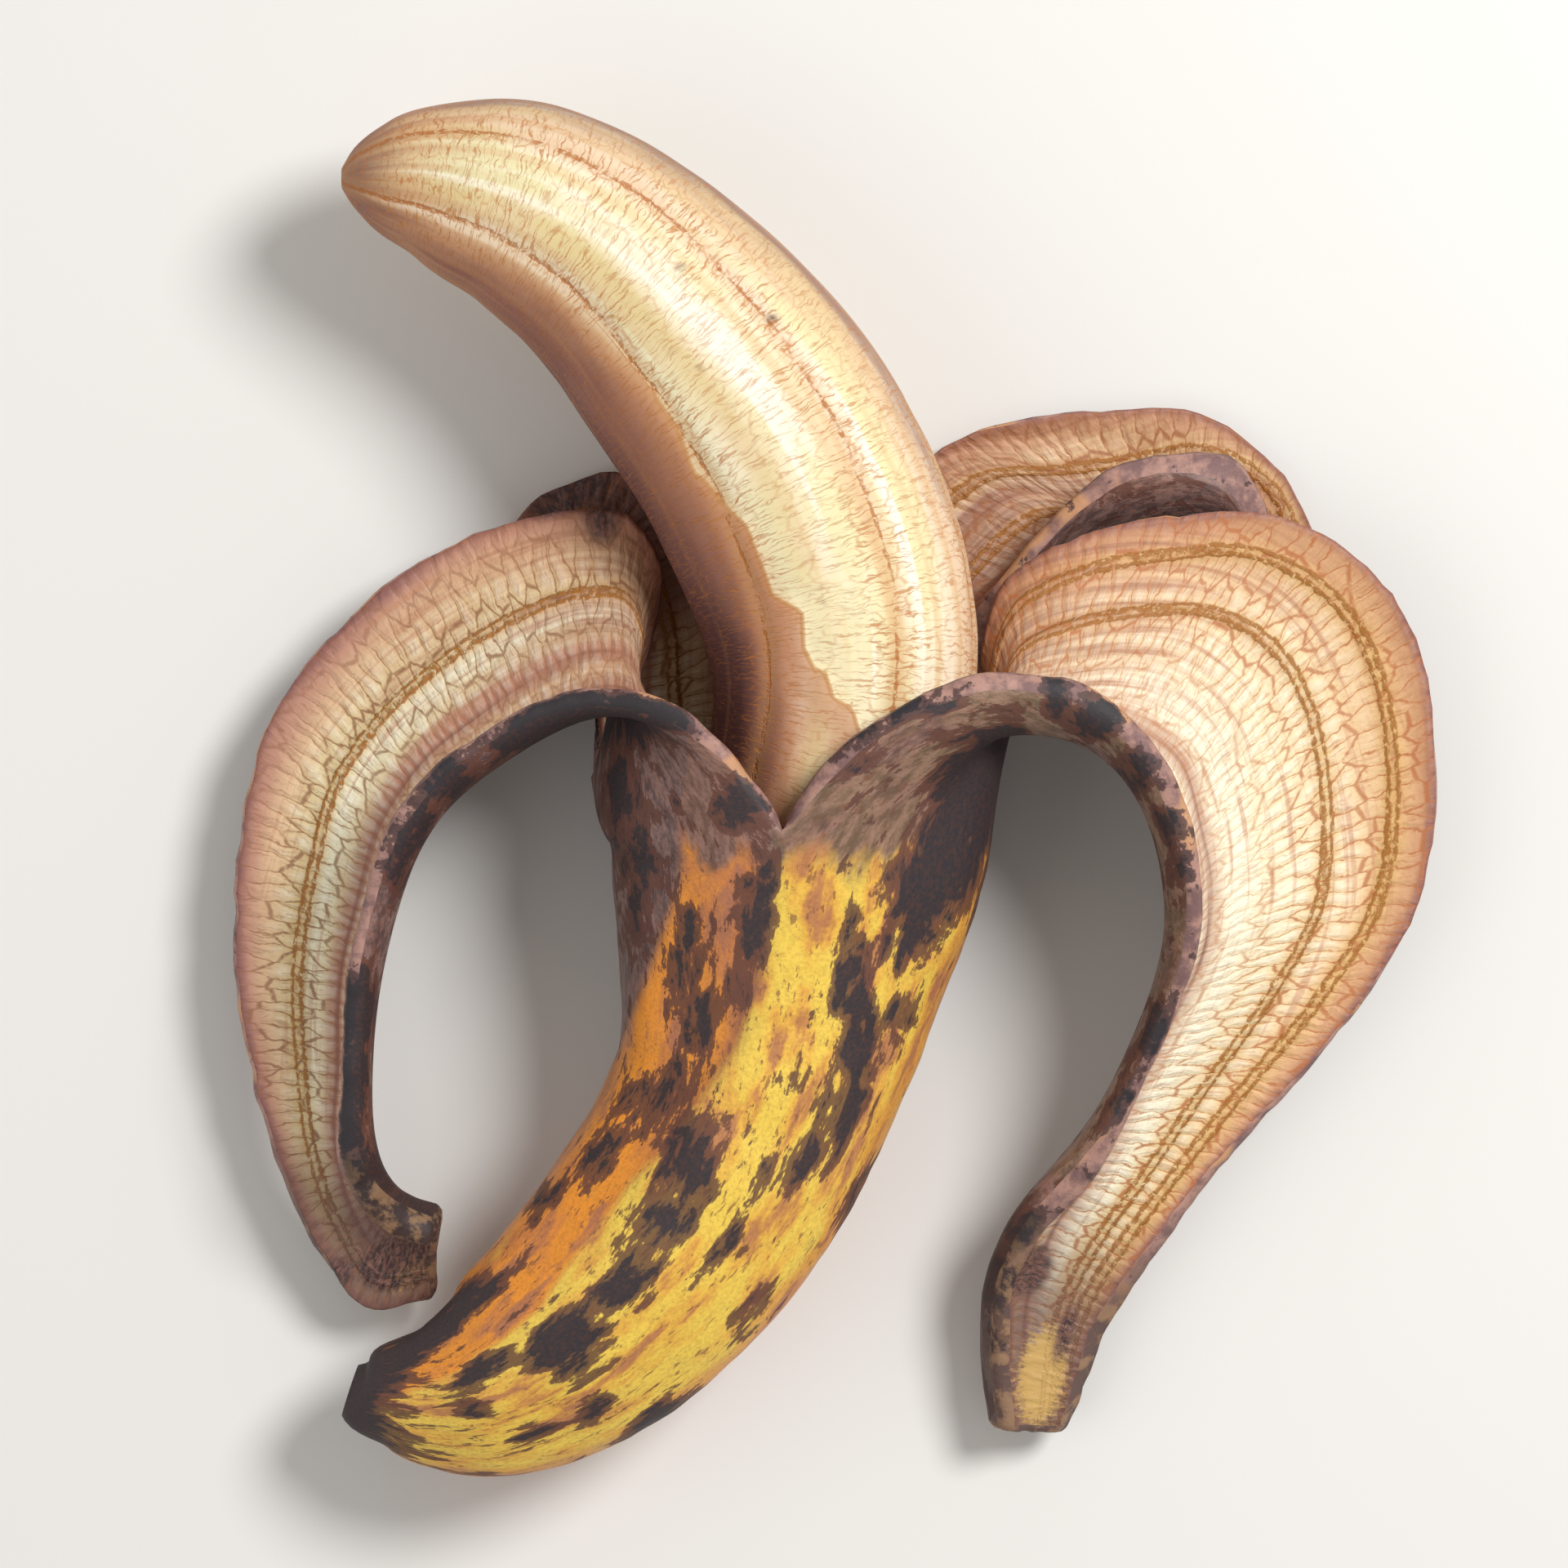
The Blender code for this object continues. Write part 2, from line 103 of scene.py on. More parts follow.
LEFT_STRIP = (
    ((-24.5, 8.5, 16), (-10.5, 1.5, 38), 38, 40, 0.70, 2.2),
    ((-21.5, 17, 15), (-14, 5.5, 39.3), 34, 44, 0.72, 2),
    ((-20.5, 25.5, 14.5), (-18, 8.7, 39.2), 30, 50, 0.78, 1.8),
    ((-24, 31, 14), (-22.5, 10.5, 38), 28, 68, 0.86, 1.8),
    ((-30.5, 32.3, 13.5), (-28, 11, 36.5), 28, 88, 0.88, 2),
    ((-40.5, 30, 13), (-34, 9.5, 35), 32, 105, 0.88, 2.4),
    ((-50.5, 25, 12.5), (-41, 5.5, 33.5), 36, 105, 0.86, 2.4),
    ((-60, 16.5, 12), (-48, 0.5, 32), 40, 100, 0.84, 2.4),
    ((-67, 6, 12), (-52.5, -6.5, 30.5), 40, 95, 0.82, 2.4),
    ((-70, -7.5, 12), (-55, -15, 28.5), 40, 92, 0.80, 2.4),
    ((-70.5, -20.5, 12), (-57, -24.5, 26), 40, 90, 0.80, 2.4),
    ((-69, -32, 12), (-57.5, -34.5, 23.5), 40, 90, 0.80, 2.4),
    ((-65.5, -44, 11.5), (-58, -44, 20), 40, 80, 0.80, 3.4),
    ((-60.8, -54.5, 10.5), (-55, -50, 17), 30, 50, 0.80, 4.8),
    ((-55, -62, 9), (-51.6, -53.2, 14.5), 20, 30, 0.75, 6.2),
    ((-48, -60.6, 8.5), (-48, -54.2, 14), 15, 20, 0.70, 6.4),
)
BACK_RIGHT_STRIP = (
    ((-7, 10, 3.6), (16.5, 10.5, 12.5), 40, 45, 0.70, 2.2),
    ((-2.5, 21.5, 3.6), (16, 19, 10), 35, 60, 0.70, 2.2),
    ((4.5, 32, 3.6), (20.5, 25.5, 8.5), 30, 100, 0.70, 2.2),
    ((12, 39.5, 3.8), (26, 32, 9.5), 25, 120, 0.65, 2.2),
    ((21.5, 43, 4.3), (33, 37.5, 11), 15, 160, 0.62, 2.2),
    ((33, 44.5, 4.5), (39.5, 39, 10.5), 10, 165, 0.60, 2.2),
    ((43.5, 44, 4.5), (46.5, 38.5, 9.5), 10, 155, 0.62, 2.2),
    ((52, 38, 4.2), (51, 33, 7.5), 20, 100, 0.68, 2.2),
    ((57.5, 27.5, 3.8), (52.5, 23.5, 6.5), 25, 70, 0.72, 2.2),
    ((60.5, 14, 3.6), (54, 11, 6.5), 30, 50, 0.75, 2.2),
    ((60.5, 0.5, 3.6), (53, -0.5, 6.5), 30, 50, 0.75, 2.2),
    ((57.5, -11, 3.6), (50, -10.5, 6.5), 30, 40, 0.75, 2.5),
    ((53, -20.5, 3.6), (48, -19, 6), 30, 30, 0.75, 2.4),
)
BACK_LEFT_STRIP = (
    ((-12, 11, 3.6), (-28, 8.5, 10.5), 35, 40, 0.75, 2.2),
    ((-15, 21, 3.6), (-25.5, 16, 8), 30, 50, 0.75, 2.2),
    ((-19, 30, 3.8), (-25.5, 24.5, 8), 25, 90, 0.70, 2.2),
    ((-26, 37, 4), (-28.5, 32.5, 9), 15, 140, 0.65, 2.2),
    ((-33.5, 35, 4), (-32.5, 30.5, 7.5), 20, 110, 0.68, 2.2),
    ((-41.5, 27, 3.8), (-37.5, 25, 6.5), 25, 80, 0.70, 2.2),
    ((-50.5, 19, 3.6), (-45, 16, 6), 30, 50, 0.75, 2.2),
    ((-58, 9, 3.6), (-51.5, 7, 6), 30, 50, 0.75, 2.2),
    ((-62, -2.5, 3.6), (-56, -3, 6), 30, 50, 0.75, 2.2),
    ((-64, -13.5, 3.6), (-58.5, -13.5, 6), 30, 40, 0.75, 2.5),
    ((-64, -24, 3.6), (-60, -23.5, 6), 30, 30, 0.75, 2.4),
)
# Sections, angles of the far and the near edge, side of the skin, columns, rows, where the
# raised veins and the sunken creases run across the lining (0 far edge, 1 near edge), and how
# grey green rather than cream the lining is
STRIPS = (
    (RIGHT_STRIP, -8.0, 95.0, 1, 56, 130, (0.10, 0.28), (0.66,), 0.0),
    (LEFT_STRIP, 190.0, 95.0, -1, 48, 130, (0.30,), (0.56, 0.78), 1.0),
    (BACK_LEFT_STRIP, 262.0, 190.0, -1, 30, 90, (0.40,), (0.70,), 0.7),
    (BACK_RIGHT_STRIP, 262.0, 352.0, 1, 42, 100, (0.25, 0.60), (0.42, 0.80), 0.5),
)
CUP_ROWS = 150
SKIN_EVENING = 80  # passes that keep the skin from bunching inside a fold
MEAN_RADIUS = 18.0  # of the unopened fruit, mm
STEM_REACH = 150.0  # from the blossom end to the stem, mm
LINING_STEP = 5  # the smooth inside of the cup needs only one row in this many
FAR = 99.0  # mm, further than anything on the fruit
VEIN_RISE = 0.30
VEIN_WIDTH = 0.9
VEIN_SWING = 0.02  # of the width, and the drift too
VEIN_DRIFT = 0.06
SWING_LENGTH = 17.0
CREASE_DROP = 0.35
CREASE_WIDTH = 1.1
RAGGED_REACH = 1.2  # how far in from its torn edge the lining is uneven, mm
CURL_STEPS = 160
CURL_WIDTH = 0.6  # share of a strip's width that each curl takes
FAR_CURL = 0.85  # puts the middle of the far curl at 0.21 of the width
FRONT_SHADE = 44.0  # how far from the mouth painted shade darkens the lining, mm
BACK_SHADE = 75.0
BACK_LEFT = 2  # the strip whose painted shade is lighter by the mouth and deepens further on
MOUTH_SHADE = 0.35  # how dark its painted shade is by the mouth, of 1
DARKENS_AFTER = 10.0
DARKENS_OVER = 14.0
LINING_APART = 40.0  # so that no two strips show the same stretch of lining pattern, mm
BELOW_RIM = 4.0  # a row of the cup that sets the strips off in its direction, mm
JOIN_ROWS = 14
JOIN_PASSES = 90
NOTCH_COLUMNS = 5.0
EDGE_BULGE = 0.38
BULGE_ROWS = 6  # over which a torn edge rounds out, from the mouth on
BLOTTED_BELOW = 16.0  # only the low folds of the lining are bruised, mm
TIP_ROUNDING = ((0.35, 0.96), (0.75, 0.86), (0.95, 0.70), (0.90, 0.40))  # mm outward, size left
# Lumps: height and size in mm, and a number that sets one pattern apart from another
SKIN_LUMPS = ((0.35, 9.0, 1.0), (0.12, 3.0, 2.0))
LINING_LUMPS = ((0.18, 5.0, 3.0),)
TORN_LUMPS = ((0.35, 2.6, 9.0), (0.25, 7.0, 5.0))
TIP_LUMPS = ((0.25, 1.6, 7.0),)


def distances(points):
    steps = np.linalg.norm(np.diff(points, axis=0), axis=1)
    return np.concatenate([[0.0], np.cumsum(steps)])


def spline(knots, values, at):
    """A smooth curve through values at rising knots, read at each place of `at`."""
    at = np.asarray(at, float)
    slopes = np.gradient(values, knots, axis=0)
    i = np.clip(np.searchsorted(knots, at, side="right") - 1, 0, len(knots) - 2)
    wide = (...,) + (None,) * (values.ndim - 1)
    h = (knots[i + 1] - knots[i])[wide]
    t = ((at - knots[i]) / (knots[i + 1] - knots[i]))[wide]
    return (
        values[i] * (1 + 2 * t) * (1 - t) ** 2
        + slopes[i] * h * t * (1 - t) ** 2
        + values[i + 1] * t * t * (3 - 2 * t)
        + slopes[i + 1] * h * t * t * (t - 1)
    )


def unit(vectors):
    return vectors / np.linalg.norm(vectors, axis=-1, keepdims=True)


def ridged(theta):
    """How far the five ridges swell a round section."""
    swell = np.full_like(theta, 1.0 - FACET_DROP)
    for ridge in RIDGES:
        away = (np.degrees(theta) - ridge + 180.0) % 360.0 - 180.0
        swell += RIDGE_RISE * np.exp(-((away / RIDGE_WIDTH) ** 2))
    return swell


def sweep(stations, at, theta, less=0.0, shape=ridged):
    """Points of a tube round a line of stations, `less` inside its wall."""
    stations = np.array(stations)
    along = distances(stations[:, :3])
    here = spline(along, stations, at)
    way = unit((spline(along, stations, at + 0.5) - spline(along, stations, at - 0.5))[..., :3])
    side = unit(np.cross(way, (0.0, 0.0, 1.0)))
    rise = np.cross(side, way)
    swell = shape(theta)
    width = here[..., 3] * swell - less
    depth = here[..., -1] * swell - less
    across = side * (width * np.cos(theta))[..., None]
    return here[..., :3] + across + rise * (depth * np.sin(theta))[..., None]


def split_place(theta):
    """How far along the cup the peel ends, or splits, at each angle."""
    stations = np.array(CUP)
    along = distances(stations[:, :3])
    forward = ((1 + np.sin(theta)) / 2) ** 2
    y = SPLIT_AT_SIDES + (SPLIT_IN_FRONT - SPLIT_AT_SIDES) * forward
    return np.interp(y, stations[5:, 1], along[5:])


def ease(share):
    share = np.clip(share, 0, 1)
    return share * share * (3 - 2 * share)


def curl_profile(far, near, roll, places):
    """A flat curve from (0, 0) to (1, 0) that bends up towards both ends."""
    fine = np.linspace(0, 1, CURL_STEPS + 1)
    middle = (fine[1:] + fine[:-1]) / 2
    turn = near * ease((middle - roll) / CURL_WIDTH + 0.5)
    turn = np.radians(turn - far * ease(FAR_CURL - middle / CURL_WIDTH))
    line = np.cumsum(np.stack([np.cos(turn), -np.sin(turn)], axis=1), axis=0)
    line = np.concatenate([np.zeros((1, 2)), line])
    end = line[-1]
    across = np.array([-end[1], end[0]])
    line = np.stack([line @ end, line @ across], axis=1) / (end @ end)
    return np.stack([np.interp(places, fine, line[:, k]) for k in (0, 1)], axis=1)


def lumpy(points, lumps):
    """How far smooth lumps of each kind stand out or sink in over a grid of points."""
    total = np.zeros(points.shape[:-1])
    for height, size, apart in lumps:
        flat = points.reshape(-1, 3) / size + apart
        made = [noise.noise(Vector(p)) for p in flat]
        total += height * np.array(made).reshape(points.shape[:-1])
    return total


def strip_faces(strip, ring, below, places, rows):
    """Lining and skin of one strip as grids, and how far along and across each point lies."""
    sections, _, _, skin_side, _, _, veins, creases, _ = strip
    middles = np.array([(np.array(s[0]) + np.array(s[1])) / 2 for s in sections])
    line = np.concatenate([[(below[0] + below[-1]) / 2, (ring[0] + ring[-1]) / 2], middles])
    ways = unit(np.gradient(line, distances(line), axis=0))[2:]
    grids = [below, ring]
    for way, (far, near, curl_far, curl_near, roll, _) in zip(ways, sections):
        far, near = np.array(far), np.array(near)
        chord = near - far
        belly = unit(np.cross(way, chord)) * skin_side * np.linalg.norm(chord)
        profile = curl_profile(curl_far, curl_near, roll, places)
        grids.append(far + profile[:, :1] * chord + profile[:, 1:] * belly)
    grids = np.array(grids)
    knots = distances(grids.mean(axis=1))
    at = np.linspace(knots[1], knots[-1], rows + 1)
    inner = spline(knots, grids, at)
    inner[..., 2] = np.maximum(inner[..., 2], REST_LEVEL + STRIP_ON_TABLE)
    thick = np.array([PEEL_THICKNESS] * 2 + [section[-1] for section in sections])
    thick = np.interp(at, knots, thick)
    along = np.gradient(inner, at, axis=0)
    outward = unit(np.cross(along, np.gradient(inner, places, axis=1))) * skin_side
    edge = np.clip(np.minimum(places, 1 - places) / TORN_EDGE_WIDTH, 0, 1)
    edge = TORN_EDGE_SHARE + (1 - TORN_EDGE_SHARE) * np.sqrt(edge * (2 - edge))
    torn = np.clip((at - at[0]) / TEAR_EASING, 0, 1)[:, None]
    thick = thick[:, None] * (1 + torn * (edge - 1))
    skin = inner + outward * thick[..., None]
    for _ in range(SKIN_EVENING):
        skin[1:-1] = (skin[:-2] + 2 * skin[1:-1] + skin[2:]) / 4

    # Distances over the lining, then its veins stand up and its creases sink
    steps = np.linalg.norm(np.diff(inner, axis=1), axis=2)
    across = np.concatenate([np.zeros((rows + 1, 1)), np.cumsum(steps, axis=1)], axis=1)
    width = across[:, -1:]
    run = np.broadcast_to((at - at[0])[:, None], across.shape)
    sway = VEIN_SWING * np.sin(run / SWING_LENGTH + skin_side) + VEIN_DRIFT * run / at[-1]
    vein = np.min([np.abs(across - (v + sway) * width) for v in veins], axis=0)
    crease = np.min([np.abs(across - (c + sway) * width) for c in creases], axis=0)
    fade = torn * np.clip((at[-1] - at) / TIP_EASING, 0, 1)[:, None]
    relief = VEIN_RISE * np.exp(-((vein / VEIN_WIDTH) ** 2))
    relief = relief - CREASE_DROP * np.exp(-((crease / CREASE_WIDTH) ** 2))
    relief = relief + lumpy(inner, LINING_LUMPS)
    inner = inner - outward * (relief * fade)[..., None]
    # The torn edge is uneven
    ragged = lumpy(inner, TORN_LUMPS)
    near_edge = np.exp(-np.minimum(places, 1 - places) * width / RAGGED_REACH)
    sideways = unit(np.gradient(inner, places, axis=1))
    shift = sideways * (ragged * near_edge * torn)[..., None]
    facts = dict(across=across - width / 2, run=run, vein=vein, crease=crease)
    facts["edge"] = np.minimum(across, width - across)
    facts["share"] = across / width
    facts["tip"] = np.broadcast_to(((at - at[0]) / (at[-1] - at[0]))[:, None], across.shape)
    return inner + shift, skin + shift, facts


class Shell:
    """Points, what is known at each, and faces of one closed mesh."""

    def __init__(self, names):
        self.points = []
        self.facts = {name: [] for name in names}
        self.faces = []
        self.kinds = []

    def add(self, grid, **facts):
        grid = np.asarray(grid, float)
        flat = grid.reshape(-1, 3)
        first = sum(len(part) for part in self.points)
        self.points.append(flat)
        for name, store in self.facts.items():
            value = np.broadcast_to(facts.get(name, 0.0), grid.shape[:-1])
            store.append(value.reshape(-1))
        return np.arange(first, first + len(flat)).reshape(grid.shape[:-1])

    def quads(self, numbers, kind=0):
        a, b = numbers[:-1, :-1], numbers[1:, :-1]
        c, d = numbers[1:, 1:], numbers[:-1, 1:]
        made = np.stack([a, b, c, d], axis=-1).reshape(-1, 4).tolist()
        self.faces.extend(made)
        self.kinds.extend([kind] * len(made))

    def fan(self, ring, point, kind=0, **facts):
        middle = int(self.add(np.array([point]), **facts)[0])
        for a, b in zip(ring, np.roll(ring, -1)):
            self.faces.append([int(a), int(b), middle])
            self.kinds.append(kind)

    def build(self, name, materials, vectors):
        """The mesh, with each fact as an attribute and the named triples as vectors."""
        points = (np.concatenate(self.points) + TO_ORIGIN) * MM
        mesh = bpy.data.meshes.new(name)
        mesh.from_pydata(points.tolist(), [], self.faces)
        mesh.polygons.foreach_set("material_index", self.kinds)
        for label, store in self.facts.items():
            held = mesh.attributes.new(label, "FLOAT", "POINT")
            held.data.foreach_set("value", np.concatenate(store).astype(np.float32))
        for label, parts in vectors.items():
            joined = np.stack([np.concatenate(self.facts[p]) for p in parts], axis=1)
            held = mesh.attributes.new(label, "FLOAT_VECTOR", "POINT")
            held.data.foreach_set("vector", joined.astype(np.float32).reshape(-1))
        work = bmesh.new()
        work.from_mesh(mesh)
        bmesh.ops.recalc_face_normals(work, faces=work.faces)
        work.to_mesh(mesh)
        work.free()
        mesh.shade_smooth()
        for material in materials:
            mesh.materials.append(material)
        made = bpy.data.objects.new(name, mesh)
        bpy.context.scene.collection.objects.link(made)
        return made


# Bruises on the side that faces up: x, y, length, breadth in mm, slant in degrees, strength
BRUISES = (
    (14, -5.5, 10, 5, 80, 1.3), (17, 1.5, 6, 3.5, 60, 1.2), (10.5, -11.5, 6.5, 4.5, 50, 1.2),
    (8, -17.5, 4.5, 3.5, 40, 0.9), (17, -14, 5, 3, 75, 0.6), (1.5, -22, 7, 2.6, 85, 0.9),
    (2.5, -30, 7, 2.8, 80, 1), (1, -37, 6, 3, 70, 0.9), (-3, -42.5, 5, 2.6, 60, 0.7),
    (7, -27, 3, 2.2, 80, 0.6), (-17, -42.5, 6.5, 4.2, 70, 1), (-20, -50, 6, 3.4, 50, 0.9),
    (-24.5, -57, 6, 3, 45, 1), (-31, -64, 6, 4, 30, 1.1), (2.5, -49, 7, 2.4, 60, 0.9),
    (-20, -73.5, 6, 2.4, 30, 1), (-9, -15, 8, 2, 85, 0.9), (-11.5, -24, 5, 2.4, 75, 0.7),
    (-17.5, -20.5, 6, 2.6, 80, 0.8), (-15.5, -27.5, 5, 2.6, 70, 0.9),
    (-19, -34.5, 6, 3.2, 60, 0.8), (-27, -43, 5, 2.4, 50, 0.8), (-33.5, -48, 3.6, 1.8, 45, 0.7),
    (-23, -36, 4, 2.2, 60, 0.6), (-13, -53, 4, 2, 50, 0.7), (-45, -62, 10, 1.8, 40, 1.1),
    (-40, -67, 6, 1.6, 35, 0.8), (-35, -74.5, 3.5, 1.8, 20, 0.7), (-42, -72.5, 3, 1.6, 10, 0.7),
    (-28, -72, 3, 2.2, 20, 0.7), (-10.5, -2, 4, 3, 80, 0.9), (-25, -2, 6, 2.6, 80, 0.8),
    (-22.5, -10, 7, 2.2, 85, 0.7), (-7.5, -44, 5, 2, 65, 0.5), (-4, -33, 3, 2, 60, 0.4),
    (-10, -61, 5, 2.2, 50, 0.6),
)

# Bruises along the torn edges that face up: x, y, length, breadth, slant, strength
EDGE_BRUISES = (
    (-20, 9.5, 14, 4, 12, 1), (-33, 7.5, 8, 3, 30, 1), (-30, 10, 6, 3, 10, 1),
    (-44.5, 0.5, 5, 3, 45, 0.8), (-48.5, -4.5, 4, 3, 60, 0.7), (-51, -9.5, 3, 2.5, 70, 0.6),
    (-56, -27, 6, 3, 85, 1), (-57, -33, 7, 3, 85, 1.1), (-57.5, -39, 8, 3, 88, 1.1),
    (-55.5, -47, 6, 4, 80, 1.1), (-50, -51, 6, 3, 10, 1.1), (2.5, 6.5, 6, 2.5, 40, 0.9),
    (7, 8.5, 4, 1.6, 30, 0.8), (11, 9, 3, 1.4, 20, 0.7), (24.8, 11, 1.4, 3, 0, 1.2),
    (30, 8.2, 2.6, 3, -30, 1.1), (34.5, 1.5, 3, 2, -50, 0.7), (38, -4.5, 2.4, 1.8, -70, 0.8),
    (39.5, -9, 3, 1.6, -80, 0.6), (36.5, -29, 4, 1.6, 80, 0.8), (33, -37, 4, 1.6, 60, 0.7),
    (22.5, -53, 4, 3, 60, 0.9), (18, -58.5, 4, 3, 80, 1), (20, -65, 3, 2, 80, 0.6),
)

# Bruises that have gone through to the lining: at the back left fold and on the split stem
LINING_BRUISES = (
    (-31, 36, 7, 3.4, 40, 0.9), (-27.5, 31, 3, 4, 0, 0.6), (-52, -56.5, 5, 3.4, 20, 1),
    (-58.5, -57.5, 3, 2.4, 60, 0.6), (22.5, -57, 4, 3.2, 60, 0.8), (27, -65, 5, 1.4, 70, 0.6),
)

# Straw-coloured dry patches on the split stem, in the same terms
STRAW_PATCHES = ((24.2, -70.0, 6.2, 3.0, 82, 1.0), (-50.0, -57.5, 3.2, 1.4, 40, 0.8))


def bruised(points, bruises=BRUISES):
    """How bruised the skin is at each point, from a list of bruises."""
    total = np.zeros(points.shape[:-1])
    for x, y, length, breadth, slant, strength in bruises:
        turn = np.radians(slant)
        dx, dy = points[..., 0] - x, points[..., 1] - y
        u = (dx * np.cos(turn) + dy * np.sin(turn)) / length
        v = (dy * np.cos(turn) - dx * np.sin(turn)) / breadth
        total = np.maximum(total, strength * np.exp(-((u * u + v * v) ** 1.3)))
    return total


# Lines on the side that faces up, x and y in mm: where the facet painted dark as shade meets the
# orange one, and the ridge where the orange facet meets the yellow one, with painted shade along it
DARK_LINE = (
    (-16, 9), (-16.5, 0.6), (-18.4, -12.7), (-21.8, -22.2), (-25.5, -31.5), (-40, -44),
)
RIDGE_LINE = (
    (-7.6, 3), (-7.5, -3.2), (-9.4, -22.2), (-11.8, -29.8), (-19.5, -41.2), (-28, -50.7),
    (-34.6, -60.2), (-44, -67.8), (-54, -72),
)
FACET_BLEND = 1.6  # mm over which one facet's colour gives way to the next
RIDGE_SHADE_WIDTHS = (0.8, 1.3)  # of the painted shade along the ridge, on its left and on its right
RIDGE_SHADE_END = -60.0  # y where the painted shade along the ridge has faded out, and over how much it fades
RIDGE_SHADE_FADE = 50.0
DARK_END = -42.0
DARK_FADE = 14.0
DARK_FROM = 150.0  # degrees round the fruit, on its underside, from where it is painted as in shade
# Round the fruit, in degrees, where the yellow of the facet that faces the light starts, over how
# much it comes in, and where it stops; the yellow is partly the skin's own and partly painted light
BRIGHT_FROM = 8.0
BRIGHT_OVER = 30.0
BRIGHT_TO = 300.0
UP_FROM = 10.0  # mm above the table, where the side that faces up begins
UP_OVER = 6.0
NUB_LENGTH = 5.5  # of the dry blossom end, mm


def from_line(points, line):
    """Distance to a line seen from above, positive on its left going along it."""
    line = np.array(line)
    signed = np.full(points.shape[:-1], FAR)
    for start, stop in zip(line[:-1], line[1:]):
        way = stop - start
        away = points[..., :2] - start
        on = np.clip((away @ way) / (way @ way), 0, 1)
        far = np.linalg.norm(away - on[..., None] * way, axis=-1)
        left = way[0] * away[..., 1] - way[1] * away[..., 0] > 0
        signed = np.where(far < np.abs(signed), np.where(left, far, -far), signed)
    return signed


def skin_facts(points, theta, run):
    """What colours the skin: place on the unopened fruit, facets with their painted light and
    shade, bruises, the dry end.
    """
    up = ease((points[..., 2] - UP_FROM) / UP_OVER)
    turned = (np.degrees(theta) + 360.0) % 360.0 + 0 * run
    from_ridge = from_line(points, RIDGE_LINE)
    # Painted shade along the ridge between the orange and the yellow facet
    ridge_shade = np.exp(-np.where(from_ridge > 0, from_ridge / RIDGE_SHADE_WIDTHS[0], -from_ridge / RIDGE_SHADE_WIDTHS[1]))
    ridge_shade_fade = ease((points[..., 1] - RIDGE_SHADE_END) / RIDGE_SHADE_FADE)
    # Painted shade: left of the dark line, and on the underside, the skin is coloured as if in
    # shade
    facet_shade = ease(0.5 - from_line(points, DARK_LINE) / FACET_BLEND) * up
    facet_shade = facet_shade + (1 - up) * (turned > DARK_FROM)
    # The facet that faces the light is golden yellow, partly the skin's own colour and partly
    # painted light
    yellow_and_lit = ease(0.5 + from_ridge / FACET_BLEND) * ease((turned - BRIGHT_FROM) / BRIGHT_OVER)
    return dict(
        gx=MEAN_RADIUS * np.cos(theta) + 0 * run,
        gy=MEAN_RADIUS * np.sin(theta) + 0 * run,
        gz=run,
        bruise=bruised(points) * up,
        facet_shade=facet_shade * ease((points[..., 1] - DARK_END) / DARK_FADE),
        yellow_and_lit=yellow_and_lit * (turned < BRIGHT_TO) * up,
        ridge_shade=ridge_shade * ridge_shade_fade * up,
        nub=np.exp(-run / NUB_LENGTH),
    )


# Known at each point: place on the unopened fruit (g), place on the lining (l) and what colours it
shell = Shell((
    "gx", "gy", "gz", "lx", "ly", "lz", "bruise", "facet_shade", "yellow_and_lit", "ridge_shade", "nub", "vein", "crease",
    "edge", "share", "tone", "tip", "fold", "straw",
))
turns = []
spans = []
for strip in STRIPS:
    lowest, highest = min(strip[1:3]), max(strip[1:3])
    spans.append((len(turns), len(turns) + strip[4]))
    turns.extend(np.linspace(lowest, highest, strip[4] + 1)[:-1])
theta = np.radians(np.array(turns))
share = np.linspace(0, 1, CUP_ROWS + 1)[:, None]
rim = split_place(theta)[None, :]
cup_skin = sweep(CUP, share * rim, theta + 0 * share)
swell = lumpy(cup_skin, SKIN_LUMPS)
centre = sweep(CUP, share * rim, theta + 0 * share, 0.0, lambda angle: 0 * angle)
cup_skin += unit(cup_skin - centre) * (swell * ease(share * 8) * ease((1 - share) * 10))[..., None]
deep = share ** ROW_CROWDING
depth = HOLLOW_START + deep * (rim - HOLLOW_START)
rounding = np.clip((depth - HOLLOW_START) / HOLLOW_ROUNDING, HOLLOW_TIP, 1)
rounding = np.sqrt(rounding * (2 - rounding))
cup_lining = sweep(CUP, depth, theta + 0 * share, PEEL_THICKNESS)
centre = sweep(CUP, depth, theta + 0 * share, 0.0, lambda angle: 0 * angle)
cup_lining = (centre + (cup_lining - centre) * rounding[..., None])[::LINING_STEP]
around = theta[None, :] + 0 * share
far_off = dict(edge=9.0, vein=9.0, crease=9.0, share=0.5)
to_stem = (share - 1) * rim / STEM_REACH
skin = shell.add(cup_skin, tip=to_stem, **skin_facts(cup_skin, around, share * rim), **far_off)
around = around[::LINING_STEP]
# The inside of the cup is painted in full shade
lining = shell.add(
    cup_lining, lx=around * MEAN_RADIUS, ly=(depth - rim)[::LINING_STEP], lz=LINING_APART, fold=1.0,
    gx=MEAN_RADIUS * np.cos(around), gy=MEAN_RADIUS * np.sin(around), gz=depth[::LINING_STEP],
    tip=0.0, **far_off,
)
shell.quads(np.concatenate([skin, skin[:, :1]], axis=1))
shell.quads(np.concatenate([lining, lining[:, :1]], axis=1), 1)
shell.fan(skin[0], cup_skin[0].mean(axis=0), nub=1.0)
shell.fan(lining[0], cup_lining[0].mean(axis=0), 1)

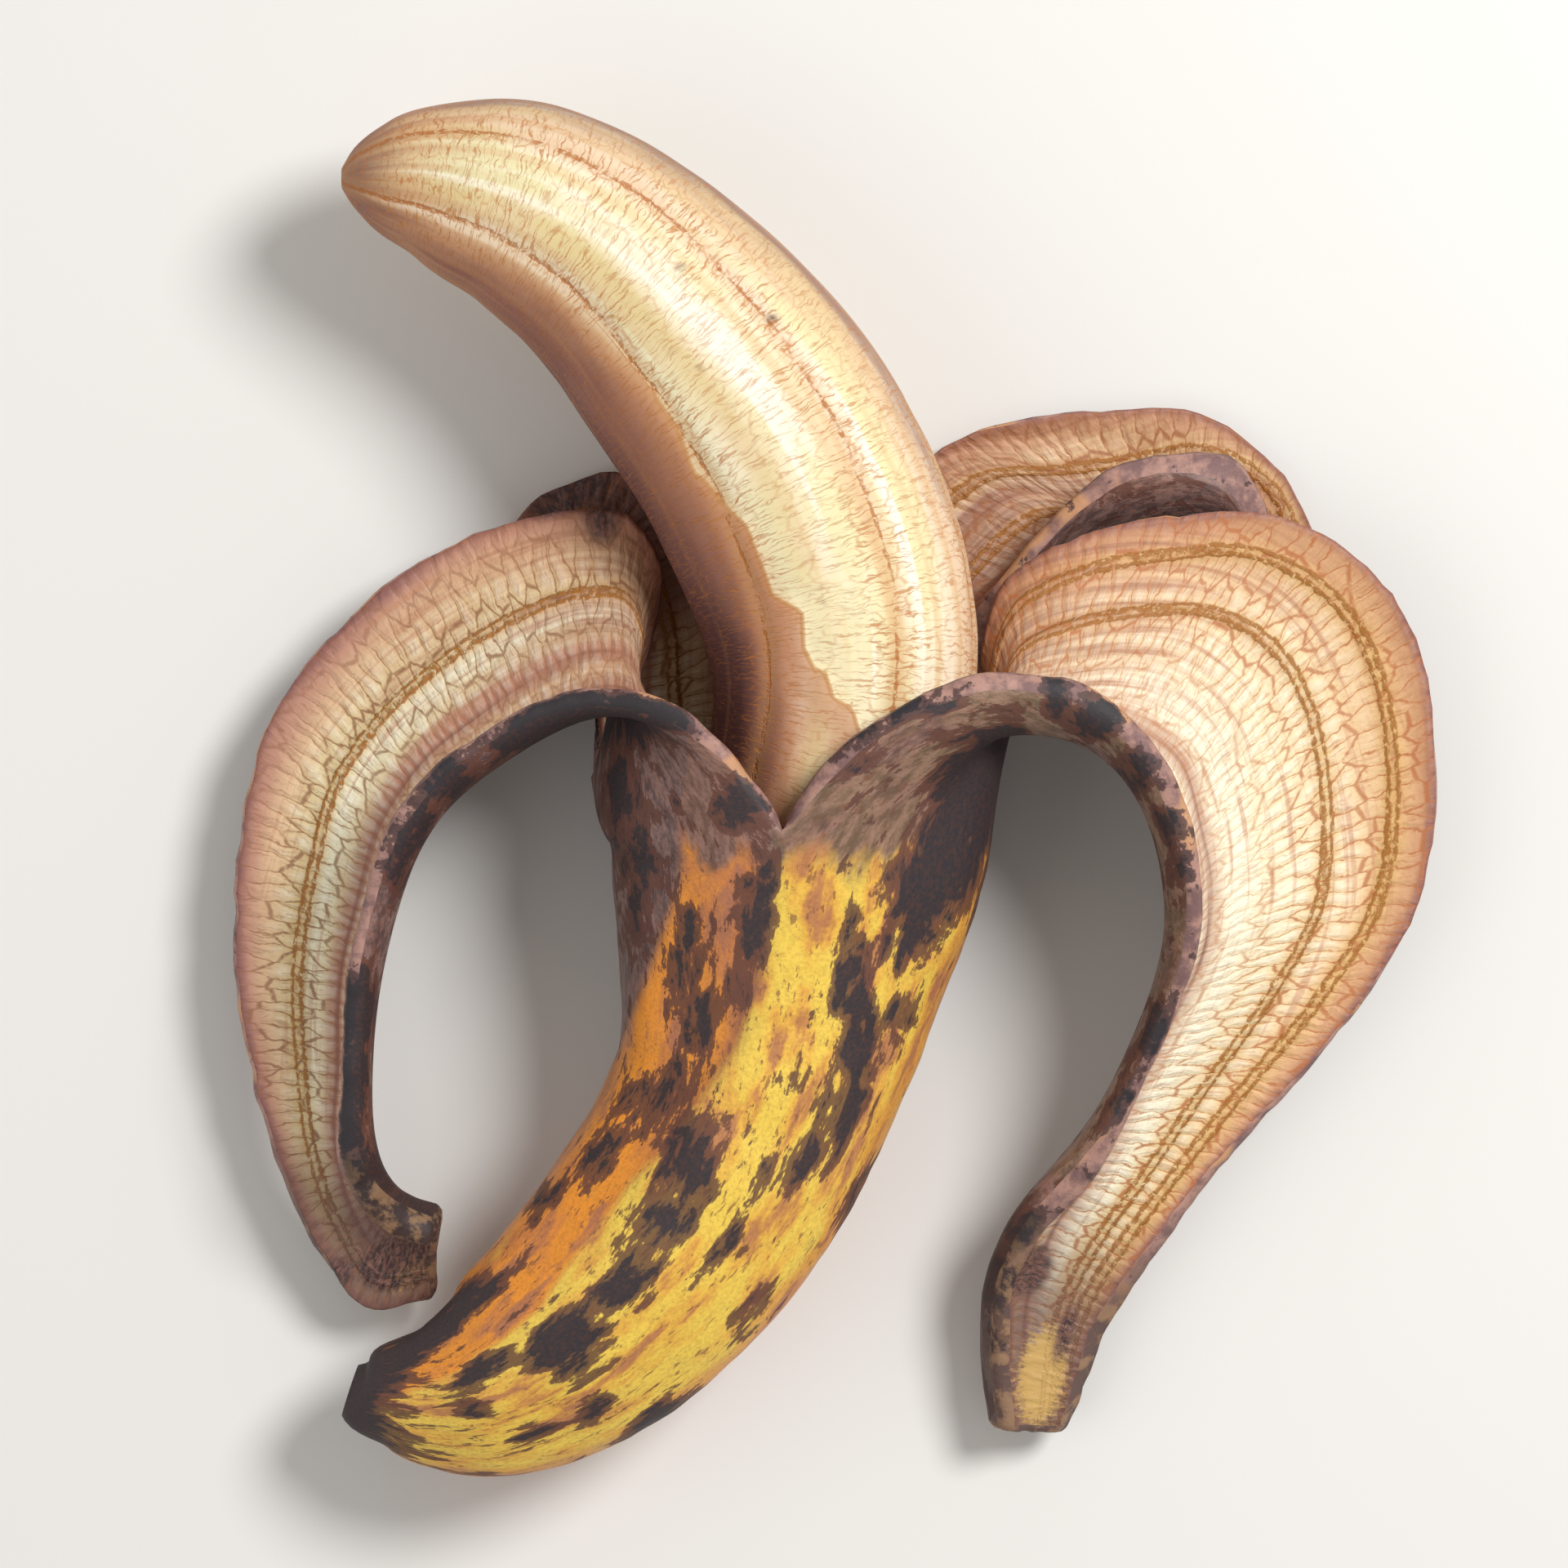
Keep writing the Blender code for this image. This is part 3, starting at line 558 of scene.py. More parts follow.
# Each strip hangs on its share of the rim; its two torn edges are rounded over
notches = {}
for number, (strip, (first, last)) in enumerate(zip(STRIPS, spans)):
    _, far_angle, near_angle, _, columns, rows, _, _, tone = strip
    order = np.arange(first, last + 1) % len(theta)
    if far_angle > near_angle:
        order = order[::-1]
    places = np.linspace(0, 1, columns + 1)
    below = sweep(CUP, (rim - BELOW_RIM)[0][order], theta[order], PEEL_THICKNESS)
    inside, outside, facts = strip_faces(strip, cup_lining[-1][order], below, places, rows)
    angle = far_angle + (near_angle - far_angle) * places
    angle = np.radians(angle)[None, :] + 0 * facts["run"]
    held = skin_facts(outside, angle, rim[0][order][None, :] + facts["run"])
    held.update({name: facts[name] for name in ("vein", "crease", "edge", "share", "tip")})
    held.update(lx=facts["across"], ly=facts["run"], lz=LINING_APART * number, tone=tone)
    # Painted shade on the lining, deepest by the mouth and fading along the strip
    held["fold"] = np.exp(-facts["run"] / (FRONT_SHADE if number < BACK_LEFT else BACK_SHADE))
    if number == BACK_LEFT:
        darkening = ease((facts["run"] - DARKENS_AFTER) / DARKENS_OVER)
        held["fold"] = MOUTH_SHADE + (1 - MOUTH_SHADE) * darkening
    held = {name: np.broadcast_to(value, angle.shape) for name, value in held.items()}
    # The skin runs smoothly from the cup into the strip, but for the notch at each side of it
    joined = np.concatenate([cup_skin[-JOIN_ROWS:, order], outside[1:JOIN_ROWS]])
    ease_in = 1 - np.abs(np.linspace(-1, 1, len(joined)))
    off_notch = ease(np.minimum(places, 1 - places) * columns / NOTCH_COLUMNS)
    weight = (ease(ease_in) * 0.5)[1:-1, None, None] * off_notch[None, :, None]
    for _ in range(JOIN_PASSES):
        joined[1:-1] += weight * ((joined[:-2] + joined[2:]) / 2 - joined[1:-1])
    cup_skin[-JOIN_ROWS:, order] = joined[:JOIN_ROWS]
    outside[1:JOIN_ROWS] = joined[JOIN_ROWS:]
    held["straw"] = bruised(inside, STRAW_PATCHES)
    grids = []
    for base, grid in ((skin, outside), (lining, inside)):
        if grid is inside:
            low = inside[..., 2] < BLOTTED_BELOW
            held["bruise"] = bruised(inside, LINING_BRUISES) * low
        else:
            held["bruise"] = np.maximum(held["bruise"], bruised(outside, EDGE_BRUISES))
        numbers = shell.add(grid[1:], **{name: value[1:] for name, value in held.items()})
        grids.append(np.concatenate([base[-1][order][None], numbers]))
    outside_numbers, inside_numbers = grids
    shell.quads(inside_numbers, 1)
    shell.quads(outside_numbers, 0)
    for edge, beside in ((0, 1), (-1, -2)):
        middle = (inside[:, edge] + outside[:, edge]) / 2
        away = unit(inside[:, edge] - inside[:, beside])
        bulge = np.linalg.norm(outside[:, edge] - inside[:, edge], axis=1) * EDGE_BULGE
        bulge *= np.clip(np.arange(len(bulge)) / BULGE_ROWS, 0, 1)
        rounded = middle + away * bulge[:, None]
        notch = int(order[edge])
        if notch not in notches:
            first_facts = {name: value[0, edge] for name, value in held.items()}
            notches[notch] = int(shell.add(rounded[:1], **first_facts)[0])
        edge_facts = {name: value[1:, edge] for name, value in held.items()}
        edge_facts["bruise"] = bruised(rounded[1:], EDGE_BRUISES)
        more = shell.add(rounded[1:], **edge_facts)
        numbers = np.concatenate([[notches[notch]], more])
        shell.quads(np.stack([inside_numbers[:, edge], numbers, outside_numbers[:, edge]]), 2)
        if edge == 0:
            first_edge, first_rounded = numbers, rounded
    # The tip: a rough cut face, rounded over at its rim
    loop = (inside_numbers[-1], numbers[-1:], outside_numbers[-1][::-1], first_edge[-1:])
    loop_points = (inside[-1], rounded[-1:], outside[-1][::-1], first_rounded[-1:])
    loop_points = np.concatenate(loop_points)
    middle = loop_points.mean(axis=0)
    onward = unit((inside[-1] + outside[-1] - inside[-3] - outside[-3]).mean(axis=0))
    tip_facts = dict(tip=1.0, lz=LINING_APART * number, tone=tone, edge=3.0)
    rings = [np.concatenate(loop)]
    for out, shrink in TIP_ROUNDING:
        ring = middle + (loop_points - middle) * shrink + onward * out
        ring = ring + onward * lumpy(ring, TIP_LUMPS)[:, None]
        rings.append(shell.add(ring, bruise=bruised(ring, EDGE_BRUISES), **tip_facts))
    closed = np.array(rings)
    shell.quads(np.concatenate([closed, closed[:, :1]], axis=1), 2)
    shell.fan(closed[-1], middle + onward * TIP_ROUNDING[-1][0], 2, **tip_facts)

# The smoothed skin takes its place in the cup, and nothing goes below the table
shell.points[0][:] = cup_skin.reshape(-1, 3)
for part in shell.points:
    part[:, 2] = np.maximum(part[:, 2], REST_LEVEL)


def feed(tree, socket, value):
    """Sets an input, or links to it what comes from another node."""
    if isinstance(value, bpy.types.NodeSocket):
        tree.links.new(value, socket)
    else:
        socket.default_value = value


def node(tree, kind, settings=None, **inputs):
    """A shader node with its settings, and its inputs by name or as i0, i1 and so on."""
    made = tree.nodes.new("ShaderNode" + kind)
    for label, value in (settings or {}).items():
        setattr(made, label, value)
    for label, value in inputs.items():
        numbered = label[0] == "i" and label[1:].isdigit()
        feed(tree, made.inputs[int(label[1:]) if numbered else label], value)
    return made


def maths(tree, operation, first, second=0.0):
    return node(tree, "Math", dict(operation=operation), i0=first, i1=second).outputs[0]


def swung(tree, value, by):
    """How far a cloud is off its middle, enlarged."""
    return maths(tree, "MULTIPLY", maths(tree, "SUBTRACT", value, 0.5), by)


def faded(tree, value, by):
    return maths(tree, "MULTIPLY", value, by)


def band(tree, value, low, high, least=0.0, most=1.0):
    """Rises smoothly from least to most as the value goes from low to high."""
    settings = dict(interpolation_type="SMOOTHSTEP")
    made = node(tree, "MapRange", settings, i0=value, i1=low, i2=high, i3=least, i4=most)
    return made.outputs[0]


def tinted(tree, share, first, second):
    """Mixes two colours, each given as display values 0 to 255 or as a socket."""
    settings = dict(data_type="RGBA", clamp_factor=True)
    pair = [c if isinstance(c, bpy.types.NodeSocket) else paint(*c) for c in (first, second)]
    return node(tree, "Mix", settings, i0=share, i6=pair[0], i7=pair[1]).outputs[2]


def washed(tree, hue, value, low, high, most, colour):
    """Lays a colour over the hue, from nothing where the value is low to `most` where high."""
    return tinted(tree, band(tree, value, low, high, 0.0, most), hue, colour)


def paint(red, green, blue):
    """Display values 0 to 255 as a linear colour."""
    shown = [v / 255 for v in (red, green, blue)]
    linear = [v / 12.92 if v <= 0.04045 else ((v + 0.055) / 1.055) ** 2.4 for v in shown]
    return (*linear, 1.0)


def known(tree, label, vector=False):
    made = node(tree, "Attribute", dict(attribute_name=label))
    return made.outputs["Vector" if vector else "Fac"]


def stretched(tree, place, scale, offset=(0.0, 0.0, 0.0)):
    return node(tree, "Mapping", None, Vector=place, Scale=scale, Location=offset).outputs[0]


def cloud(tree, place, scale, detail=3.0, roughness=0.55, distortion=0.0):
    return node(
        tree, "TexNoise", None, Vector=place, Scale=scale, Detail=detail, Roughness=roughness,
        Distortion=distortion,
    ).outputs[0]


def new_material(label):
    material = bpy.data.materials.new(label)
    material.use_nodes = True
    tree = material.node_tree
    return material, tree, tree.nodes["Principled BSDF"]


def finished(tree, shader, hue, roughness, shine, rise, strength, depth):
    """Joins colour and relief to the shader and sets how rough and shiny it is."""
    tree.links.new(hue, shader.inputs["Base Color"])
    feed(tree, shader.inputs["Roughness"], roughness)
    shader.inputs["Specular IOR Level"].default_value = shine
    bump = node(tree, "Bump", None, Strength=strength, Distance=depth, Height=rise)
    tree.links.new(bump.outputs[0], shader.inputs["Normal"])


def group_of(label, inputs, outputs):
    """An empty node group with number or vector inputs and number outputs."""
    tree = bpy.data.node_groups.new(label, "ShaderNodeTree")
    for name, kind in inputs:
        tree.interface.new_socket(name, in_out="INPUT", socket_type="NodeSocket" + kind)
    for name in outputs:
        tree.interface.new_socket(name, in_out="OUTPUT", socket_type="NodeSocketFloat")
    return tree, tree.nodes.new("NodeGroupInput").outputs, tree.nodes.new("NodeGroupOutput").inputs


def use_group(tree, group, **inputs):
    made = tree.nodes.new("ShaderNodeGroup")
    made.node_tree = group
    for label, value in inputs.items():
        feed(tree, made.inputs[label], value)
    return made.outputs


# Fibres that run across lining and pulp and part round long narrow cells, with fine dotted
# veins along the fruit
fibres, given, gives = group_of(
    "cross_fibres",
    (
        ("Place", "Vector"), ("Vein", "Float"), ("Cells", "Vector"), ("Reach", "Float"),
        ("Twin", "Float"),
    ),
    ("Fibre", "Vein", "Cell", "Strokes"),
)
wander = cloud(fibres, stretched(fibres, given["Place"], (0.30, 0.6, 1.0)), 1.0, 3.0)
wander = swung(fibres, wander, 1.6)
shaken = node(fibres, "CombineXYZ", None, i0=0.0, i1=wander, i2=0.0).outputs[0]
place = node(fibres, "VectorMath", dict(operation="ADD"), i0=given["Place"], i1=shaken).outputs[0]
sized = dict(operation="MULTIPLY")
lain = node(fibres, "VectorMath", sized, i0=place, i1=given["Cells"]).outputs[0]
cell = node(
    fibres, "TexVoronoi", dict(feature="DISTANCE_TO_EDGE", voronoi_dimensions="2D"),
    Vector=lain, Scale=1.0, Randomness=0.65,
).outputs["Distance"]
line = band(fibres, cell, 0.015, 0.075, 1.0, 0.0)
broken = band(fibres, cloud(fibres, given["Place"], 0.75, 3.0), 0.26, 0.50)
close = band(fibres, given["Vein"], 0.0, given["Reach"], 1.0, 0.50)
fibre = faded(fibres, faded(fibres, line, broken), close)
fibres.links.new(fibre, gives["Fibre"])
fibres.links.new(band(fibres, cell, 0.05, 0.40), gives["Cell"])
wobble = cloud(fibres, given["Place"], 0.9, 2.0)
wobble = swung(fibres, wobble, 1.0)
wobble = maths(fibres, "ADD", given["Vein"], wobble)
apart = maths(fibres, "ABSOLUTE", maths(fibres, "SUBTRACT", wobble, given["Twin"]))
thread = band(fibres, apart, 0.12, 0.40, 1.0, 0.0)
dotted = band(fibres, cloud(fibres, given["Place"], 1.7, 2.0), 0.34, 0.50)
fibres.links.new(faded(fibres, thread, dotted), gives["Vein"])
drawn = cloud(fibres, stretched(fibres, place, (0.28, 3.4, 1.0)), 1.0, 3.0, 0.6)
fibres.links.new(band(fibres, drawn, 0.54, 0.64), gives["Strokes"])

# Ragged dark spots whose size follows a bias
spots, given, gives = group_of(
    "ragged_spots",
    (("Place", "Vector"), ("Bias", "Float"), ("Fineness", "Float")),
    ("Stain", "Core"),
)
coarse = cloud(spots, given["Place"], given["Fineness"], 5.0, 0.62, 0.6)
moved = stretched(spots, given["Place"], (2.1, 2.1, 1.1), (7.0, 3.0, 1.0))
dabs = cloud(spots, moved, given["Fineness"], 4.0, 0.7)
level = faded(spots, coarse, 0.55)
level = maths(spots, "ADD", level, faded(spots, dabs, 0.45))
level = maths(spots, "ADD", level, given["Bias"])
spots.links.new(band(spots, level, 0.585, 0.625), gives["Stain"])
spots.links.new(band(spots, level, 0.67, 0.73), gives["Core"])

# Skin: golden yellow on the facet that faces the light, partly its own colour and partly painted
# light; orange and tan elsewhere; painted shade in grey brown on the facet turned away, the
# underside and the strips, and along the ridge; with brown dabs and near-black bruises
skin_material, tree, shader = new_material("skin")
grown = known(tree, "grown", True)
drift = cloud(tree, stretched(tree, grown, (0.16, 0.16, 0.055)), 1.0, 4.0, 0.6, 0.4)
fine = cloud(tree, stretched(tree, grown, (0.9, 0.9, 0.32)), 1.0, 6.0, 0.7)
washes = cloud(tree, stretched(tree, grown, (0.3, 0.3, 0.10), (3.0, 8.0, 2.0)), 1.0, 4.0)
hue = tinted(tree, band(tree, drift, 0.34, 0.54), (204, 126, 66), (236, 148, 46))
# Golden yellow on the lit facet: partly the skin's own colour, partly painted light
yellow_and_lit = swung(tree, washes, 2.3)
yellow_and_lit = maths(tree, "ADD", known(tree, "yellow_and_lit"), yellow_and_lit)
hue = tinted(tree, band(tree, yellow_and_lit, 0.25, 0.60), hue, (226, 162, 66))
hue = tinted(tree, band(tree, yellow_and_lit, 0.72, 1.20), hue, (236, 200, 82))
mauve = band(tree, washes, 0.47, 0.36)
hue = tinted(tree, faded(tree, mauve, 0.75), hue, (168, 108, 82))
# Painted shade along the ridge, broken up a little
ridge_shade = faded(tree, known(tree, "ridge_shade"), band(tree, fine, 0.3, 0.6, 0.75, 1.0))
hue = tinted(tree, ridge_shade, hue, (92, 56, 54))
# Painted shade: the strips' skin and the cup just below their roots are coloured grey brown as if
# in shade, as is the facet left of the dark line
root = swung(tree, washes, 0.12)
folded = band(tree, maths(tree, "ADD", known(tree, "tip"), root), -0.040, -0.012)
old = maths(tree, "MAXIMUM", known(tree, "facet_shade"), faded(tree, folded, 0.92))
shade_hue = tinted(tree, band(tree, fine, 0.38, 0.62), (84, 66, 66), (140, 108, 100))
hue = tinted(tree, old, hue, shade_hue)
bias = faded(tree, known(tree, "bruise"), 0.28)
bias = maths(tree, "ADD", bias, faded(tree, old, 0.06))
bias = maths(tree, "ADD", bias, faded(tree, known(tree, "nub"), 0.5))
wrinkled = stretched(tree, grown, (0.46, 0.46, 0.24))
marks = use_group(tree, spots, Place=wrinkled, Bias=bias, Fineness=0.7)
small = stretched(tree, grown, (1.3, 1.3, 0.6))
specks = use_group(tree, spots, Place=small, Bias=0.025, Fineness=0.8)
hue = tinted(tree, faded(tree, specks["Stain"], 0.70), hue, (122, 76, 56))
hue = tinted(tree, faded(tree, marks["Stain"], 0.90), hue, (94, 58, 48))
hue = tinted(tree, marks["Core"], hue, (48, 42, 46))
stemward = band(tree, known(tree, "tip"), 0.80, 0.90)
hue = tinted(tree, faded(tree, stemward, 0.8), hue, (58, 44, 44))
pores = cloud(tree, grown, 2.2, 4.0, 0.6)
hue = washed(tree, hue, pores, 0.40, 0.65, 0.22, (112, 62, 34))
rise = faded(tree, maths(tree, "SUBTRACT", fine, marks["Stain"]), 0.5)
rise = maths(tree, "ADD", rise, faded(tree, pores, 0.3))
waxy = band(tree, marks["Stain"], 0.0, 1.0, 0.42, 0.62)
finished(tree, shader, hue, waxy, 0.4, rise, 0.35, 0.0006)

# Lining: cream to pale green in long bands, with ochre veins, cells between cross fibres, mauve
# bruising along its edges, and painted shade in its creases, in the fold at the mouth and inside
# the cup
# Colours across the cream lining, far edge 0 to near edge 1: mauve towards both edges, whitest from
# 0.56 to 0.76 where a painted highlight lies on the cream
LINING_BANDS = (
    (0.00, (144, 98, 86)), (0.03, (198, 148, 110)), (0.10, (224, 182, 134)),
    (0.24, (238, 210, 164)), (0.40, (242, 222, 178)), (0.56, (250, 240, 208)),
    (0.76, (250, 238, 208)), (0.88, (238, 206, 162)), (0.96, (206, 152, 116)),
    (1.00, (146, 100, 90)),
)
# Colours across the grey green lining, far edge 0 to near edge 1: the stops at 0.57 and 0.79 are
# painted shade in its two creases
GREEN_BANDS = (
    (0.00, (128, 84, 84)), (0.05, (184, 136, 116)), (0.15, (218, 184, 144)),
    (0.26, (222, 200, 150)), (0.40, (246, 242, 208)), (0.50, (230, 210, 166)),
    (0.57, (176, 120, 100)), (0.66, (224, 190, 150)), (0.72, (214, 178, 140)),
    (0.79, (178, 124, 104)), (0.88, (230, 212, 172)), (0.96, (196, 150, 120)),
    (1.00, (140, 96, 90)),
)


def banded(tree, value, bands):
    """A colour for each value, from a list of places and display colours."""
    made = node(tree, "ValToRGB", None, i0=value)
    stops = made.color_ramp.elements
    while len(stops) > 1:
        stops.remove(stops[-1])
    for number, (position, colour) in enumerate(bands):
        stop = stops[0] if number == 0 else stops.new(position)
        stop.position = position
        stop.color = paint(*colour)
    return made.outputs[0]


lining_material, tree, shader = new_material("lining")
place = known(tree, "lay", True)
vein_gap = known(tree, "vein")
pattern = use_group(
    tree, fibres, Place=place, Vein=vein_gap, Cells=(0.15, 0.66, 1.0), Reach=12.0, Twin=0.6
)
patch = cloud(tree, stretched(tree, place, (0.12, 0.035, 1.0)), 1.0, 3.0)
streak = cloud(tree, stretched(tree, place, (0.85, 0.05, 1.0)), 1.0, 4.0, 0.6)
grainy = cloud(tree, stretched(tree, place, (0.8, 2.0, 1.0)), 1.0, 5.0, 0.7)
across = swung(tree, patch, 0.14)
across = maths(tree, "ADD", known(tree, "share"), across)
tone = known(tree, "tone")
hue = tinted(tree, tone, banded(tree, across, LINING_BANDS), banded(tree, across, GREEN_BANDS))
middle = faded(tree, band(tree, across, 0.10, 0.30), band(tree, across, 0.98, 0.80))
lit = faded(tree, faded(tree, pattern["Cell"], middle), 0.50)
hue = tinted(tree, lit, hue, (254, 250, 232))
hue = washed(tree, hue, streak, 0.52, 0.66, 0.45, (190, 136, 104))
crease = known(tree, "crease")
# Painted shade in the sunken creases
hue = tinted(tree, band(tree, crease, 0.3, 3.2, 0.55, 0.0), hue, (170, 116, 98))
hue = tinted(tree, band(tree, crease, 0.0, 0.7, 0.80, 0.0), hue, (128, 78, 66))
hue = tinted(tree, band(tree, vein_gap, 0.3, 2.6, 0.55, 0.0), hue, (200, 156, 74))
# Painted shade in the fold by the mouth and inside the cup
shadow = swung(tree, streak, 0.9)
shadow = maths(tree, "ADD", known(tree, "fold"), shadow)
for low, high, most, colour in (
    (0.20, 0.60, 0.62, (186, 132, 100)),
    (0.45, 0.90, 0.80, (120, 76, 68)),
    (0.85, 1.20, 0.80, (78, 50, 50)),
):
    hue = washed(tree, hue, shadow, low, high, most, colour)
edge = known(tree, "edge")
edge = maths(tree, "ADD", edge, swung(tree, grainy, 2.5))
hue = tinted(tree, band(tree, edge, -0.4, 1.3, 0.75, 0.0), hue, (140, 92, 86))
ink = tinted(tree, tone, (176, 104, 56), (136, 90, 62))
hue = tinted(tree, faded(tree, pattern["Strokes"], 0.42), hue, ink)
hue = tinted(tree, faded(tree, pattern["Fibre"], 0.85), hue, ink)
hue = tinted(tree, faded(tree, pattern["Vein"], 0.95), hue, (158, 100, 34))
stemward = band(tree, known(tree, "tip"), 0.78, 0.93)
hue = tinted(tree, faded(tree, stemward, 0.85), hue, (104, 74, 68))
straw = swung(tree, grainy, 1.6)
straw = maths(tree, "ADD", known(tree, "straw"), straw)
hue = washed(tree, hue, straw, 0.22, 0.70, 0.85, (206, 168, 96))
blot = band(tree, known(tree, "bruise"), 0.25, 0.60, 0.0, 0.90)
blot_hue = tinted(tree, band(tree, grainy, 0.4, 0.6), (58, 44, 46), (112, 80, 74))
hue = tinted(tree, blot, hue, blot_hue)
hue = washed(tree, hue, grainy, 0.42, 0.72, 0.25, (176, 118, 84))
rise = faded(tree, pattern["Cell"], 0.5)
rise = maths(tree, "ADD", rise, faded(tree, pattern["Vein"], 0.6))
rise = maths(tree, "ADD", rise, faded(tree, grainy, 0.35))
finished(tree, shader, hue, 0.5, 0.35, rise, 0.5, 0.0006)

# Torn edge: the thickness of the peel, mauve and drying dark, bruised like the skin beside it
torn_material, tree, shader = new_material("torn_edge")
body = stretched(tree, node(tree, "TexCoord").outputs["Object"], (1000.0, 1000.0, 1000.0))
dry = cloud(tree, stretched(tree, body, (0.35, 0.35, 0.35)), 1.0, 5.0, 0.65)
hue = tinted(tree, band(tree, dry, 0.38, 0.62), (176, 134, 120), (122, 90, 88))
tan = band(tree, cloud(tree, body, 0.11, 2.0), 0.56, 0.64, 0.0, 0.7)
hue = tinted(tree, tan, hue, (206, 152, 104))
bias = maths(tree, "ADD", faded(tree, known(tree, "bruise"), 0.30), 0.01)
wide = stretched(tree, body, (0.30, 0.30, 0.30))
marks = use_group(tree, spots, Place=wide, Bias=bias, Fineness=0.9)
hue = tinted(tree, faded(tree, marks["Stain"], 0.9), hue, (74, 50, 48))
hue = tinted(tree, marks["Core"], hue, (44, 38, 42))
stemward = band(tree, known(tree, "tip"), 0.80, 0.90, 0.0, 0.80)
stem_hue = tinted(tree, band(tree, dry, 0.46, 0.60), (60, 44, 42), (150, 116, 84))
hue = tinted(tree, stemward, hue, stem_hue)
finished(tree, shader, hue, 0.65, 0.5, dry, 0.5, 0.0005)

peel = shell.build(
    "peel_dressed", (skin_material, lining_material, torn_material),
    {"grown": ("gx", "gy", "gz"), "lay": ("lx", "ly", "lz")},
)
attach(peel, "root")
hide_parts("peel")

# PULP
# The soft pale fruit, one grown piece: it stands out of the cup and runs on down inside it,
# touching nothing but the peel. Fine dotted veins run along it and short fibres across.

PULP = (
    (-57.5, 70.4, 22, 1.2),
    (-56.5, 70.4, 22, 2.9),
    (-55, 70.4, 22, 4.6),
    (-52.5, 70.3, 22, 6.6),
    (-48, 70, 22, 8.9),
    (-43, 69, 21.8, 10.9),
    (-37.5, 67.5, 21.6, 12.3),
    (-29, 63, 21.4, 13.6),
    (-22, 57, 21.2, 14.6),
    (-17, 51.5, 21, 15.6),
    (-9.5, 42, 20.8, 16.3),
    (-5, 34.5, 20.6, 16.6),
    (-1, 25.5, 20.6, 16.7),
    (1.5, 18, 20.5, 16.2),
    (1.5, 11, 20.4, 15.7),
    (0, 2.5, 20.1, 14.5),
    (-3, -6, 19.3, 13.9),
    (-5.5, -15.5, 18.5, 13.4),
    (-7.5, -25.5, 17.9, 12.7),
    (-10, -35, 17.5, 12),
    (-16, -47, 17.5, 11.8),
    (-24.5, -57.5, 17.4, 11.2),
    (-32, -65, 17, 9.8),
    (-38, -68, 16.6, 7.6),
    (-42, -70, 16.3, 4.8),
    (-44.5, -70.5, 16.1, 1.6),
)
PULP_PLACE = 200.0  # keeps its pattern apart from those of the lining, mm
UPPER_SIDE = 22.0  # mm above the table
UNTORN = -9.0  # stands for well inside the layer that is still whole, mm
PULP_ROWS = 260
PULP_COLUMNS = 150
BEND = (64.0, 108.0)  # where along the pulp it bends tightly by the mouth, mm
BEND_PASSES = 140
PULP_VEINS = (60.0, 118.0, 172.0, 232.0, 300.0, 352.0)
PULP_LUMPS = ((0.22, 8.0, 4.0),)
PULP_SHARE = 0.9  # of the fruit's own radius
END_CROWDING = 0.35  # how much the rows crowd towards the two ends of the pulp
VEIN_WANDER = 7.0  # degrees
WANDER_LENGTH = 38.0
GROOVE_DEPTH = 0.25
GROOVE_WIDTH = 1.2
STRIPE_AT = 80.0  # degrees round the pulp
LAYER_THICKNESS = 0.22
LAYER_STEP = 0.6
LAYER_REACH = 4.0  # mm past its line the surface is level again, and over how much it rises
LAYER_RISE = 3.0
SMOOTH_TIP = 22.0
WORN_TIP = 9.0

# Line along which a thin outer layer has come off the pulp, and small scars: x, y in mm
FLAP_LINE = (
    (-21, 44), (-18.4, 40.5), (-16.6, 35.5), (-15.6, 34.8), (-12.4, 31), (-10.6, 29.5),
    (-8.6, 24.5), (-7.6, 21.5), (-4.2, 19.6), (-4, 15.5), (-2.6, 12.8), (-1.6, 13),
    (-0.6, 9.8), (1.6, 8.6), (2.4, 6),
)
SCARS = ((-7.5, 53.3, 0.55), (-18.0, 59.0, 0.35), (-15.5, 47.5, 0.25), (-2.0, 21.0, 0.25))

shell = Shell(("lx", "ly", "lz", "vein", "side", "tip", "stripe", "flap", "scar"))
stations = np.array(PULP)
length = distances(stations[:, :3])[-1]
share = (1 - np.cos(np.linspace(0, np.pi, PULP_ROWS + 1))) / 2
even = np.linspace(0, 1, PULP_ROWS + 1)
share = (END_CROWDING * share + (1 - END_CROWDING) * even)[:, None]
theta = np.linspace(0, 2 * np.pi, PULP_COLUMNS, endpoint=False)[None, :] + 0 * share
run = share * length + 0 * theta
grid = sweep(PULP, run, theta, 0.0, np.ones_like)
# The sections would cross on the inner side of the tight bend, so they are evened out there
first, last = np.searchsorted(run[:, 0], BEND)
turning = grid[first:last]
for _ in range(BEND_PASSES):
    turning[1:-1] = (turning[:-2] + 2 * turning[1:-1] + turning[2:]) / 4
radius = spline(distances(stations[:, :3]), stations, run)[..., 3]
centre = sweep(PULP, run, theta, 0.0, lambda angle: 0 * angle)
gap = np.full(run.shape, FAR)
for degrees in PULP_VEINS:
    line = np.radians(degrees + VEIN_WANDER * np.cos(run / WANDER_LENGTH))
    turn = (theta - line + np.pi) % (2 * np.pi) - np.pi
    gap = np.minimum(gap, np.abs(turn) * radius)
stripe = np.abs((theta - np.radians(STRIPE_AT) + np.pi) % (2 * np.pi) - np.pi) * radius
